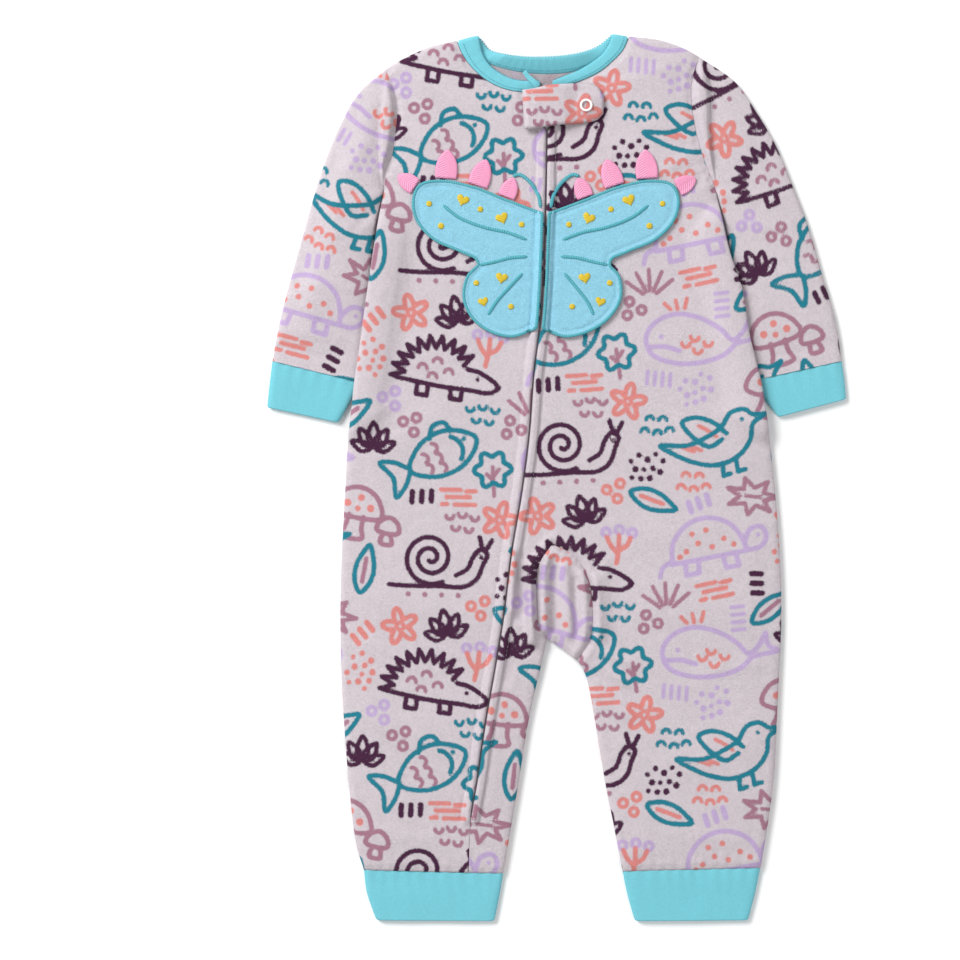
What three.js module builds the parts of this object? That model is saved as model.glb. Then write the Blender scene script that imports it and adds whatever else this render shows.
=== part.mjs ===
// A baby's onesie pajama in printed fleece, laid flat on a surface with its front up.
// Millimetres. +Z is up, +Y points to the neck, +X to the right of someone who looks down on it.
// The origin is the middle of the garment's box, on the surface that it lies on.
import * as THREE from 'three';

// Cloth thickness and the spaces between layers
const WALL = 2.8;
const HALF_GAP = 0.2;
const SEAM_Z = WALL + HALF_GAP;
const SEAM_GAP = 0.35;
const SLEEVE_WALL = 2.3;
const CUFF_WALL = 2.0;
const BAND_THICK = 2.4;
const TAB_THICK = 3.4;
const WING_THICK = 2.0;
const PETAL_THICK = 1.3;
const PANEL_SOFTNESS = 0.3;

// How edges roll over and how seams sink
const ROLL_RUN = 5.5;
const ROLL_START = 0.3;
const SEAM_DIP = 0.5;
const SEAM_DIP_RUN = 5;
const LOFT = 1.4;
const LOFT_RUN = 26;

// The body's sides lie on the sleeves' inner strips, from the underarm to the cuff
const TUCK_LIFT = 5.6;
const TUCK_WIDTH = 8.5;
const TUCK_FADE = 24;
const TUCK_TOP = 174;
const TUCK_BOTTOM = 50;
const TUCK_AIR = 1.5;

// The zip, with the fleece edges folded back beside it as raised welts
const ZIP_HALF_GAP = 0.9;
const ZIP_OPEN = 3.5;
const ZIP_OPEN_FROM = 249;
const ZIP_OPEN_RUN = 6;
const ZIP_TOP = 277.5;
const ZIP_BOTTOM = -246;
const ZIP_CLOSE_RUN = 6;
const WELT_WIDTH = 5;
const WELT_FALL = 3;
const WELT_RISE = 1.2;
const WELT_ROLL = 0.9;
const TAPE_HALF = 11;
const TAPE_THICK = 0.8;
const TAPE_FADE = 8;
const CHAIN_HALF = 2;
const CHAIN_HEIGHT = 1;
const CHAIN_FADE = 3;
const TAPE_CLEAR = 0.2;
// The tape's columns, from its middle line: its edges, and both sides of the chain
const TAPE_COLUMNS = [-10, -2.1, -1.5, 1.5, 2.1, 10];
const TAPE_END = { bottom: 2, top: 1 };

// Distances from an edge at which a panel has its columns of points
const CURL_STEPS = [0, 1, 3, 6];
const FEW_STEPS = [0, 1.2, 5];
const SIDE_STEPS = [0, 1, 3, 6, 12, 22, 34];
const WELT_STEPS = [0, 1.2, 3.6, 5.4, 7, 8.8];
const LADDER_SHARE = 0.8;

// Rows of the panels, as shares of each block or as how many of them
const LEG_ROWS = [0, 0.1, 0.19, 0.24, 0.42, 0.61, 0.8, 1];
const HIP_ROWS = 3;
const GUSSET_ROWS = 7;
const TORSO_ROWS = 9;
const CHEST_ROWS = [0, 0.25, 0.5, 0.75, 1];
const NECK_ROWS = [0, 0.17, 0.34, 0.5, 0.66, 0.8, 0.91, 0.975, 1];
const TAPE_ROWS = 16;
const WING_ROWS = 18;
// The share of the armhole that is beside the chest; the rest is beside the neck
const ARM_SPLIT = 0.55;
const CROTCH_RELAX = 60;

// Edges of the garment seen from above, each a smooth curve through [x, y], from the legs up
const OUTLINE = {
  sideLeft: [
    [-139, -283], [-144.5, -264.5], [-149.5, -225], [-154, -166], [-156, -110], [-155, -58.5],
    [-152.5, -9], [-150.5, 25.5], [-148, 48.5], [-146, 68], [-141.5, 99], [-137.5, 128],
    [-131, 171], [-124.5, 208.5],
  ],
  sideRight: [
    [147, -281.5], [152, -251.5], [156.5, -218], [159.5, -160], [162, -102.5], [161.5, -66.5],
    [158, -16], [153, 32], [150, 52], [147, 69.5], [139, 102.5], [133.5, 135.5],
    [124.5, 163], [114.5, 208.5],
  ],
  armholeLeft: [
    [-124.5, 208.5], [-122.5, 221.5], [-118.5, 233], [-116, 251], [-115, 269], [-117.5, 281], [-123.5, 294],
  ],
  armholeRight: [[114.5, 208.5], [107.5, 225.5], [101, 246], [97.5, 266], [97, 284], [102.5, 303.5]],
  shoulderLeft: [[-123.5, 294], [-110.5, 302], [-92.5, 310], [-72.5, 315]],
  shoulderRight: [[102.5, 303.5], [91.5, 309.5], [73, 315.5], [52.5, 318]],
  inseamLeft: [
    [-38.5, -285.5], [-33.5, -256], [-26.5, -214], [-21.5, -182], [-16.5, -157.5], [-11.5, -137], [-7, -115.5],
  ],
  inseamRight: [
    [47.5, -284], [41, -250], [35, -220], [28, -177.5], [24.5, -157.5], [21, -143],
    [15, -132], [5.5, -124], [-7, -115.5],
  ],
  zip: [
    [-63.5, -285], [-62, -246], [-57.5, -218.5], [-51.5, -177], [-44, -134.5], [-38.5, -101],
    [-32.5, -53.5], [-25, -9], [-20, 30], [-16.5, 75], [-11.5, 117], [-8.5, 178], [-7, 253],
    [-6.5, 281],
  ],
  neckFrontLeft: [[-26, 277.8], [-36, 279.5], [-48, 284.5], [-59, 293], [-67.5, 304], [-72.5, 315]],
  neckFrontRight: [[11.5, 283.5], [21.5, 287.5], [32, 293], [40.5, 300], [48, 308], [52.5, 318]],
  neckBack: [
    [-72.5, 315], [-61, 304], [-46.5, 297.5], [-26.5, 292.5], [-7, 291], [11, 292.5], [27, 297.5],
    [42, 306], [52.5, 318],
  ],
  bandFrontLeft: [
    [-12.5, 286], [-24.5, 286], [-31.5, 287.2], [-40, 291], [-48, 297], [-53.5, 305.5], [-56.5, 318.5],
  ],
  bandFrontRight: [
    [-3, 286], [6.5, 289.8], [15.5, 293.5], [25.5, 299.5], [33, 305.5], [37.5, 312], [40, 319.1],
  ],
  bandBack: [
    [-56.5, 318.5], [-49, 309], [-38, 305], [-22, 303], [-7, 303], [6.5, 304], [19.5, 306.5],
    [30.5, 311.5], [40, 319.1],
  ],
};

// Where the crotch gusset is sewn in, from the crotch up to its point
const GUSSET_TOP_Y = -48;
const GUSSET_FORK_Y = -132;
const GUSSET_LEFT = [[-12.5, -108.5], [-14.5, -88], [-14.5, -72.5], [-11.5, -60]];
const GUSSET_RIGHT = [[24, -116], [26, -94], [22.5, -72], [12.5, -56.5]];
const GUSSET_SHARE = 0.145;
const GUSSET_REACH = 0.97;
const GUSSET_SPREAD = 1.4;
const GUSSET_COLUMNS = 12;

// Sleeves: a row for each section across the sleeve, from the armhole to the cuff
const SLEEVE_ROWS = {
  columns: ['outerX', 'outerY', 'underX', 'underY'],
  left: [
    [-123.5, 294, -124.5, 208.5], [-143, 277, -127.6, 195.5], [-156, 254, -130, 181],
    [-168.5, 223.5, -132.2, 164], [-179, 189, -132.8, 142], [-189, 153, -134.8, 120.5],
    [-197, 123.5, -137, 99], [-203, 95.5, -140, 79], [-205, 84, -141, 68.5],
  ],
  right: [
    [102.5, 303.5, 114.5, 208.5], [129, 285, 118.1, 196], [143.5, 264.5, 121.7, 181],
    [157, 241.5, 124.8, 164], [169.5, 212, 127.5, 142], [181, 182, 130.8, 122],
    [191.5, 146, 135.5, 102.5], [201, 113.5, 139.5, 86], [205.5, 84, 141.5, 70],
  ],
};
const SLEEVE_HEAD_RISE = 1.6;
const SLEEVE_HEAD_AT = 8;
const SLEEVE_HEAD_HALF = 6;
const SLEEVE_STATIONS = [0, 0.25, 0.6, 1, 1.5, 2, 2.5, 3, 4, 5, 6, 7, 8];
const SLEEVE_BOW_FADE = 12;
const ARMHOLE_GAP = 0.65;

// Cuffs: a row for each section, from the seam to the hem
const CUFF_ROWS = {
  columns: ['leftX', 'leftY', 'rightX', 'rightY'],
  pieces: {
    sleeve_left: [[-205.2, 83.4, -141.2, 67.9], [-207.3, 66, -148, 56], [-208.9, 50.5, -157.5, 39.5]],
    sleeve_right: [[141.7, 69.4, 205.8, 83.4], [149, 58, 207.6, 70], [160, 43.5, 208.9, 56.5]],
    leg_left: [[-139, -283.5, -38.6, -286], [-137, -299, -41.5, -302.5], [-130, -319.5, -45, -320]],
    leg_right: [[47.6, -284.5, 146.9, -282], [51, -300.5, 143.2, -299.5], [56.5, -320, 138, -319.5]],
  },
};
const CUFF_STATIONS = [0, 0.33, 0.66, 0.96, 1];
const CUFF_HEM = 0.75;

// The neck band's shares of its side pieces, and how closely its direction is read
const BAND_FOLD_SHARE = 0.9;
const BAND_NUDGE = 0.02;
const BAND_SIDE_LENGTH = 72;
const BAND_TURNS = 6;

// Soft folds on the front: a row for each ridge, as [x, y] of both ends, half width and height
const FOLDS = {
  columns: ['x0', 'y0', 'x1', 'y1', 'half', 'rise'],
  rows: [
    [-19.5, -62, -18, -118, 4.5, 2],
    [-7, -56, -4, -80, 5, 2.2],
    [-4, -80, -4.5, -110, 5, 2.2],
    [13, -64, 20, -88, 5, 2],
    [20, -88, 19, -116, 5, 2],
    [27, -82, 29, -112, 4, 1.2],
    [24, -134, 48, -147, 5, 1.1],
    [-116, 204, -108, 193, 9, 0.9],
    [106, 205, 98, 194, 9, 0.9],
    [-132, 22, -84, 40, 15, 1],
    [140, 12, 96, 34, 15, 1],
    [-118, -84, -62, -104, 15, 1.2],
    [132, -96, 72, -92, 15, 1.2],
    [-140, -176, -86, -190, 14, 1],
    [142, -190, 88, -206, 14, 1],
  ],
};

// Applique: half of its outline, as [reach from the zip, height above its middle]
const WING_Y = 167;
const WING_INSET = 1.2;
const WING_INNER = [-60, 24];
const WING_COLUMNS = { zip: [0, 2.4, 4.2, 5.8, 7.6], edge: [0, 0.6, 2] };
const WING_ROLL = 2;
const WING_OUTLINE = [
  [9, -63], [18, -66], [34, -63], [49, -53], [57, -38], [55, -22], [47.5, -12], [60, -5],
  [80, 4], [93, 18], [96, 33], [91, 44], [75, 47], [52, 42.5], [30, 34], [9, 26],
];
// Its raised petals: a row for each, as the place along the outline, length and half width
const PETALS = {
  columns: ['along', 'length', 'half'],
  rows: [[0.655, 15, 7], [0.742, 21, 9], [0.832, 20, 8.5], [0.918, 15, 7]],
};
const PETAL_GAP = 1.2;
const PETAL_BLUNT = 0.6;
const PETAL_POWER = 2.4;
const PETAL_ROWS = [0, 0.06, 0.4, 0.7, 0.9, 1];
const PETAL_COLUMNS = [0, 0.15, 0.5, 0.85, 1];
const PETAL_ROLL = 1.6;
const ON_CLOTH = 0.55;

// Zip tab with its snap, and the slider under it
const TAB_LOWER = [[-23.5, 250.5], [-17, 250.8], [1, 253.5], [19, 255], [29, 257.5], [33.5, 262]];
const TAB_UPPER = [[-25, 279], [-17, 279.8], [-8, 282], [3, 283], [19, 283.5], [29, 281.5], [34, 274]];
const TAB_FLAT = 7;
const TAB_FALL = 9;
const TAB_OVER_ZIP = 3.4;
const TAB_CLEAR = 0.35;
const TAB_REST = 2 * SEAM_Z + LOFT + TAB_CLEAR;
const TAB_ROWS = [0, 0.025, 0.08, 0.18, 0.28, 0.37, 0.46, 0.55, 0.64, 0.73, 0.82, 0.9, 0.96, 0.985, 1];
const TAB_ROLL = 3;
const SNAP = { x: 21, y: 267.5, radius: 4.4, hole: 2.3, height: 1, round: 0.35 };
const STUD = { radius: 3.4, height: 1.5, room: 9 };
const SNAP_SIDES = 24;
const SLIDER = { y: 269.5, width: 7, length: 9, height: 2.8, corner: 2.2 };
const PULL = { y: 258.4, width: 4.6, length: 11.4, height: 1.2, corner: 1.8, hole: 1.2 };
const CORNER_SIDES = 4;

// How finely curves are followed, and how closely two points count as one
const CHAIN_COUNT = 90;
const RIM_COUNT = 16;
const KEY_DIGITS = 3;
const TINY = 1e-9;

const COLOURS = {
  fleece: 0xe0d8df,
  trim: 0x7fd6df,
  wing: 0x96dbe6,
  petal: 0xf39bc1,
  tape: 0xcfc7cf,
  metal: 0xf2f0ee,
};
const ROUGHNESS = { fleece: 0.95, trim: 0.85, wing: 0.95, petal: 0.5, tape: 0.8, metal: 0.35 };

const lerp = THREE.MathUtils.lerp;
const clamp = THREE.MathUtils.clamp;
const smooth = (t) => THREE.MathUtils.smoothstep(t, 0, 1);
const mix = (a, b, t) => ({ x: lerp(a.x, b.x, t), y: lerp(a.y, b.y, t) });

// Numbers spread evenly from one to another, both included
const even = (count, from = 0, to = 1) => (
  Array.from({ length: count + 1 }, (_, i) => lerp(from, to, i / count))
);

// Rows of a table as objects that carry its column names
const named = ({ columns }, rows) => rows.map((row) => (
  Object.fromEntries(columns.map((name, i) => [name, row[i]]))
));

// A smooth curve through flat points, and the same curve as a chain of short straights
function through(points) {
  const nodes = points.map(([x, y]) => new THREE.Vector3(x, y, 0));
  return new THREE.CatmullRomCurve3(nodes, false, 'centripetal');
}

const chain = (curve) => curve.getSpacedPoints(CHAIN_COUNT);

function distanceToChain(line, x, y) {
  let best = Infinity;
  for (let i = 1; i < line.length; i += 1) {
    const a = line[i - 1];
    const dx = line[i].x - a.x;
    const dy = line[i].y - a.y;
    const t = clamp(((x - a.x) * dx + (y - a.y) * dy) / (dx * dx + dy * dy), 0, 1);
    best = Math.min(best, Math.hypot(x - a.x - t * dx, y - a.y - t * dy));
  }
  return best;
}

const nearest = (lines, x, y) => Math.min(...lines.map((line) => distanceToChain(line, x, y)));

// The place where a curve that climbs all the way passes the height y
function crossing(line, y) {
  const after = line.findIndex((point) => point.y >= y);
  if (after <= 0) {
    return after === 0 ? line[0] : line.at(-1);
  }
  const a = line[after - 1];
  const b = line[after];
  return mix(a, b, (y - a.y) / (b.y - a.y));
}

// The zip's line, and how far its two cloth edges stand apart at each height
const zipLine = chain(through(OUTLINE.zip));

function zipHalfGap(y) {
  const closed = smooth((ZIP_BOTTOM - y) / ZIP_CLOSE_RUN + 1);
  const open = ZIP_OPEN * smooth((y - ZIP_OPEN_FROM) / ZIP_OPEN_RUN);
  return lerp(ZIP_HALF_GAP + open, SEAM_GAP / 2, closed);
}

const zipEdge = (side) => (y) => ({ x: crossing(zipLine, y).x + side * zipHalfGap(y), y });

// The front necklines start at the zip's edges
const neckStart = (side) => [zipEdge(side)(ZIP_TOP).x, ZIP_TOP];
OUTLINE.neckFrontLeft.unshift(neckStart(-1));
OUTLINE.neckFrontRight.unshift(neckStart(1));
const eachOf = (object, make) => (
  Object.fromEntries(Object.entries(object).map(([name, value]) => [name, make(value)]))
);
const edges = eachOf(OUTLINE, through);
const chains = eachOf(edges, chain);

// Height rules: every face of a panel is a height over the flat outline
const roll = (d, run) => ROLL_START + (1 - ROLL_START) * Math.sqrt(1 - (1 - clamp(d / run, 0, 1)) ** 2);
const rolledEdges = ['sideLeft', 'sideRight', 'shoulderLeft', 'shoulderRight', 'inseamLeft', 'inseamRight']
  .map((name) => chains[name]);
const legSeams = [
  [edges.sideLeft.getPointAt(0), edges.inseamLeft.getPointAt(0)],
  [edges.inseamRight.getPointAt(0), edges.sideRight.getPointAt(0)],
];
const frontSeams = [
  chains.armholeLeft, chains.armholeRight, chains.neckFrontLeft, chains.neckFrontRight, ...legSeams,
];
const between = (line, low, high) => line.filter((point) => point.y >= low && point.y <= high);
const tucks = [chains.sideLeft, chains.sideRight].map((line) => between(line, TUCK_BOTTOM, TUCK_TOP));

const tuckLift = (x, y) => TUCK_LIFT * (1 - smooth((nearest(tucks, x, y) - TUCK_WIDTH) / TUCK_FADE));

// Air between the layers where they come down off the sleeve
function tuckAir(x, y) {
  const share = tuckLift(x, y) / TUCK_LIFT;
  return 4 * TUCK_AIR * share * (1 - share);
}

const folds = named(FOLDS, FOLDS.rows).map(({ x0, y0, x1, y1, half, rise }) => (
  { ridge: [{ x: x0, y: y0 }, { x: x1, y: y1 }], half, rise }
));
const foldRise = (x, y) => folds.reduce((sum, { ridge, half, rise }) => (
  sum + rise * Math.exp(-((distanceToChain(ridge, x, y) / half) ** 2))
), 0);

const fromZip = (x, y) => Math.abs(x - crossing(zipLine, y).x);

const zipLength = (y) => smooth((y - ZIP_BOTTOM) / ZIP_CLOSE_RUN + 1);

// Room under the front for the tape and its chain
function zipRoom(x, y) {
  const d = fromZip(x, y);
  const tape = (TAPE_THICK + TAPE_CLEAR) * (1 - smooth((d - TAPE_HALF) / TAPE_FADE));
  const coil = (CHAIN_HEIGHT + TAPE_CLEAR) * (1 - smooth((d - CHAIN_HALF) / CHAIN_FADE));
  return (tape + coil) * zipLength(y);
}

function weltRise(x, y) {
  const d = fromZip(x, y) - zipHalfGap(y);
  const ridge = WELT_RISE * (1 - smooth((d - WELT_WIDTH) / WELT_FALL));
  const edge = WELT_ROLL * (1 - smooth(d / WELT_ROLL));
  return (ridge - edge) * zipLength(y);
}

// The larger of two heights, with a soft change from one to the other
const softMax = (a, b) => (a + b + Math.sqrt((a - b) ** 2 + PANEL_SOFTNESS ** 2) - PANEL_SOFTNESS) / 2;

function frontAir(x, y) {
  const free = smooth(nearest([...rolledEdges, ...frontSeams], x, y) / LOFT_RUN);
  const ridges = foldRise(x, y) * smooth(nearest(rolledEdges, x, y) / ROLL_RUN);
  return softMax(Math.max(LOFT * free, tuckAir(x, y)) + ridges, zipRoom(x, y));
}

const frontInside = (x, y) => SEAM_Z + HALF_GAP + tuckLift(x, y) + frontAir(x, y);

function frontTop(x, y) {
  const dip = SEAM_DIP * (1 - smooth(nearest(frontSeams, x, y) / SEAM_DIP_RUN));
  const thick = SEAM_Z * roll(nearest(rolledEdges, x, y), ROLL_RUN);
  return SEAM_Z + tuckLift(x, y) + thick + frontAir(x, y) - dip + weltRise(x, y);
}

const backInside = (x, y) => SEAM_Z - HALF_GAP + tuckLift(x, y);
const backBottom = (x, y) => tuckLift(x, y) + SEAM_Z * (1 - roll(nearest(rolledEdges, x, y), ROLL_RUN));

// Column places across a row, as shares of its width: fine near both edges, even between them.
// With relax 1 the fine columns at the second edge are spread evenly.
function columnsFor(width, fromFirst, fromSecond, spread, relax = 0) {
  const reach = fromFirst.at(-1) + fromSecond.at(-1);
  const scale = Math.min(1, (LADDER_SHARE * width) / reach);
  const start = fromFirst.map((d) => (d * scale) / width);
  const end = fromSecond.map((d) => 1 - (d * scale) / width).reverse();
  const rest = [...even(spread, start.at(-1), end[0]).slice(1, -1), ...end];
  const evenly = even(rest.length, start.at(-1), 1).slice(1);
  return [...start, ...rest.map((s, i) => lerp(s, evenly[i], relax))];
}

// Flat net of cells: blocks that share an edge share its points
class Net {
  constructor() {
    this.points = [];
    this.cells = [];
    this.known = new Map();
  }

  point({ x, y }) {
    const key = `${x.toFixed(KEY_DIGITS)},${y.toFixed(KEY_DIGITS)}`.replaceAll('-0.000', '0.000');
    if (!this.known.has(key)) {
      this.known.set(key, this.points.length);
      this.points.push({ x, y });
    }
    return this.known.get(key);
  }

  // first(u) and second(u) are the block's two edges, and bow(s, u) moves a point off the straight row
  block(first, second, rows, columns, bow = null) {
    const lines = rows.map((u) => {
      const a = first(u);
      const b = second(u);
      const width = Math.hypot(b.x - a.x, b.y - a.y);
      return columns(width, u).map((s) => {
        const spot = mix(a, b, s);
        const move = bow ? bow(s, u) : { x: 0, y: 0 };
        return this.point({ x: spot.x + move.x, y: spot.y + move.y });
      });
    });
    for (let r = 1; r < lines.length; r += 1) {
      for (let c = 1; c < lines[r].length; c += 1) {
        const cell = [lines[r - 1][c - 1], lines[r - 1][c], lines[r][c], lines[r][c - 1]];
        this.cells.push(cell.filter((corner, i) => corner !== cell[(i + 1) % cell.length]));
      }
    }
    return this;
  }
}

function solid(vertices, faces) {
  const volume = faces.reduce((sum, [a, b, c]) => {
    const [p, q, r] = [vertices[a], vertices[b], vertices[c]];
    return sum + p[0] * (q[1] * r[2] - q[2] * r[1]) - p[1] * (q[0] * r[2] - q[2] * r[0])
      + p[2] * (q[0] * r[1] - q[1] * r[0]);
  }, 0);
  const turned = volume > 0 ? faces : faces.map(([a, b, c]) => [a, c, b]);
  const geometry = new THREE.BufferGeometry();
  geometry.setAttribute('position', new THREE.Float32BufferAttribute(vertices.flat(), 3));
  geometry.setIndex(turned.flat());
  geometry.computeVertexNormals();
  return geometry;
}

// Closes a net into a wall between the heights upper(x, y) and lower(x, y)
function wall(net, upper, lower) {
  const count = net.points.length;
  const vertices = [
    ...net.points.map(({ x, y }) => [x, y, upper(x, y)]),
    ...net.points.map(({ x, y }) => [x, y, lower(x, y)]),
  ];
  const faces = [];
  const sides = new Map();
  net.cells.forEach((cell) => {
    for (let i = 1; i < cell.length - 1; i += 1) {
      faces.push([cell[0], cell[i], cell[i + 1]]);
      faces.push([cell[0] + count, cell[i + 1] + count, cell[i] + count]);
    }
    cell.forEach((from, i) => {
      const to = cell[(i + 1) % cell.length];
      sides.set(`${from},${to}`, [from, to]);
    });
  });
  sides.forEach(([from, to]) => {
    if (!sides.has(`${to},${from}`)) {
      faces.push([to, from, from + count], [to, from + count, to + count]);
    }
  });
  return solid(vertices, faces);
}

// A tube laid flat: rings of an outer and an inner loop, open at both ends
function openTube(rings) {
  const size = rings[0].outer.length;
  const vertices = rings.flatMap(({ outer, inner }) => [...outer, ...inner]);
  const at = (ring, loop, i) => ring * 2 * size + loop * size + (i % size);
  const faces = [];
  const quad = (a, b, c, d) => faces.push([a, b, c], [a, c, d]);
  for (let i = 0; i < size; i += 1) {
    for (let k = 1; k < rings.length; k += 1) {
      quad(at(k - 1, 0, i), at(k - 1, 0, i + 1), at(k, 0, i + 1), at(k, 0, i));
      quad(at(k - 1, 1, i + 1), at(k - 1, 1, i), at(k, 1, i), at(k, 1, i + 1));
    }
    const last = rings.length - 1;
    quad(at(0, 0, i + 1), at(0, 0, i), at(0, 1, i), at(0, 1, i + 1));
    quad(at(last, 0, i), at(last, 0, i + 1), at(last, 1, i + 1), at(last, 1, i));
  }
  return solid(vertices, faces);
}

// One ring of a flat tube. spot(s) is its place across, rise(x, y) its extra height on top.
function flatRing(spot, width, wallThick, rise, hem = 1) {
  const half = wallThick + HALF_GAP;
  const shares = columnsFor(width, CURL_STEPS, CURL_STEPS, 3);
  const margin = wallThick / width;
  const place = (s, z) => [spot(s).x, spot(s).y, z(spot(s))];
  const thick = (s) => half * roll(Math.min(s, 1 - s) * width, ROLL_RUN) * hem;
  const inset = (s) => lerp(margin, 1 - margin, s);
  const gap = HALF_GAP;
  return {
    outer: [
      ...shares.map((s) => place(s, ({ x, y }) => half + thick(s) + rise(x, y))),
      ...shares.toReversed().map((s) => place(s, () => half - thick(s))),
    ],
    inner: [
      ...shares.map((s) => place(inset(s), ({ x, y }) => half + gap + rise(x, y))),
      ...shares.toReversed().map((s) => place(inset(s), () => half - gap)),
    ],
  };
}

// A flat strip with rounded long edges, carried by two rails of points
const RIBBON_SECTION = [
  [0, -0.3], [0.12, -0.5], [0.88, -0.5], [1, -0.3], [1, 0.3], [0.88, 0.5], [0.12, 0.5], [0, 0.3],
];
function ribbon(seamRail, freeRail, thick) {
  const middle = seamRail.map((point, i) => point.clone().lerp(freeRail[i], 0.5));
  const vertices = [];
  seamRail.forEach((seam, i) => {
    const across = freeRail[i].clone().sub(seam);
    const along = middle[Math.min(i + 1, middle.length - 1)].clone().sub(middle[Math.max(i - 1, 0)]);
    const normal = across.clone().cross(along).normalize().multiplyScalar(thick);
    RIBBON_SECTION.forEach(([w, h]) => {
      vertices.push(seam.clone().addScaledVector(across, w).addScaledVector(normal, h).toArray());
    });
  });
  const size = RIBBON_SECTION.length;
  const faces = [];
  for (let k = 1; k < seamRail.length; k += 1) {
    for (let i = 0; i < size; i += 1) {
      const next = (i + 1) % size;
      const [a, b, c, d] = [(k - 1) * size + i, (k - 1) * size + next, k * size + next, k * size + i];
      faces.push([a, b, c], [a, c, d]);
    }
  }
  const end = (seamRail.length - 1) * size;
  for (let i = 1; i < size - 1; i += 1) {
    faces.push([0, i + 1, i], [end, end + i, end + i + 1]);
  }
  return solid(vertices, faces);
}

const group = new THREE.Group();

function add(name, geometry, finish) {
  const material = new THREE.MeshStandardMaterial({
    color: COLOURS[finish],
    roughness: ROUGHNESS[finish],
    metalness: 0,
  });
  const mesh = new THREE.Mesh(geometry, material);
  mesh.name = name;
  group.add(mesh);
  return mesh;
}

const UNDERARM_Y = OUTLINE.sideLeft.at(-1)[1];
const CROTCH_Y = OUTLINE.inseamLeft.at(-1)[1];

// A polygon through some points of a curve, so that neighbours share straight edges
const chords = (curve, stops, from = 0, to = 1) => (u) => {
  const after = Math.max(1, stops.findIndex((stop) => stop >= u - TINY));
  const share = (u - stops[after - 1]) / (stops[after] - stops[after - 1]);
  const at = (stop) => curve.getPointAt(lerp(from, to, stop));
  return mix(at(stops[after - 1]), at(stops[after]), share);
};

const upTo = (line, low, high) => (u) => crossing(line, lerp(low, high, u));
const part = (curve, from, to) => (u) => curve.getPointAt(lerp(from, to, u));
const foot = (name) => OUTLINE[name][0][1];

// Moves the last row of a block off its straight onto a curve, and the rows before it less
const bowTo = (curve) => (s, u) => {
  const target = curve.getPointAt(s);
  const straight = mix(curve.getPointAt(0), curve.getPointAt(1), s);
  return { x: (target.x - straight.x) * u * u, y: (target.y - straight.y) * u * u };
};
const shoulderBow = {
  left: bowTo(edges.shoulderLeft),
  right: bowTo(through(OUTLINE.shoulderRight.toReversed())),
};
const fromRight = (columns) => (width, u) => columns(width, u).map((s) => 1 - s).reverse();

function frontLeft() {
  const columns = (width) => columnsFor(width, SIDE_STEPS, WELT_STEPS, 3);
  const legEdge = (u) => zipEdge(-1)(lerp(foot('zip'), CROTCH_Y, u));
  const hipEdge = (u) => zipEdge(-1)(lerp(CROTCH_Y, GUSSET_TOP_Y, u));
  const torsoEdge = (u) => zipEdge(-1)(lerp(GUSSET_TOP_Y, UNDERARM_Y, u));
  const chestEdge = (u) => zipEdge(-1)(lerp(UNDERARM_Y, ZIP_TOP, u));
  return new Net()
    .block(upTo(chains.sideLeft, foot('sideLeft'), CROTCH_Y), legEdge, LEG_ROWS, columns)
    .block(upTo(chains.sideLeft, CROTCH_Y, GUSSET_TOP_Y), hipEdge, even(HIP_ROWS), columns)
    .block(upTo(chains.sideLeft, GUSSET_TOP_Y, UNDERARM_Y), torsoEdge, even(TORSO_ROWS), columns)
    .block(part(edges.armholeLeft, 0, ARM_SPLIT), chestEdge, CHEST_ROWS, columns)
    .block(part(edges.armholeLeft, ARM_SPLIT, 1), part(edges.neckFrontLeft, 0, 1), NECK_ROWS, columns,
      shoulderBow.left);
}

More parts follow.
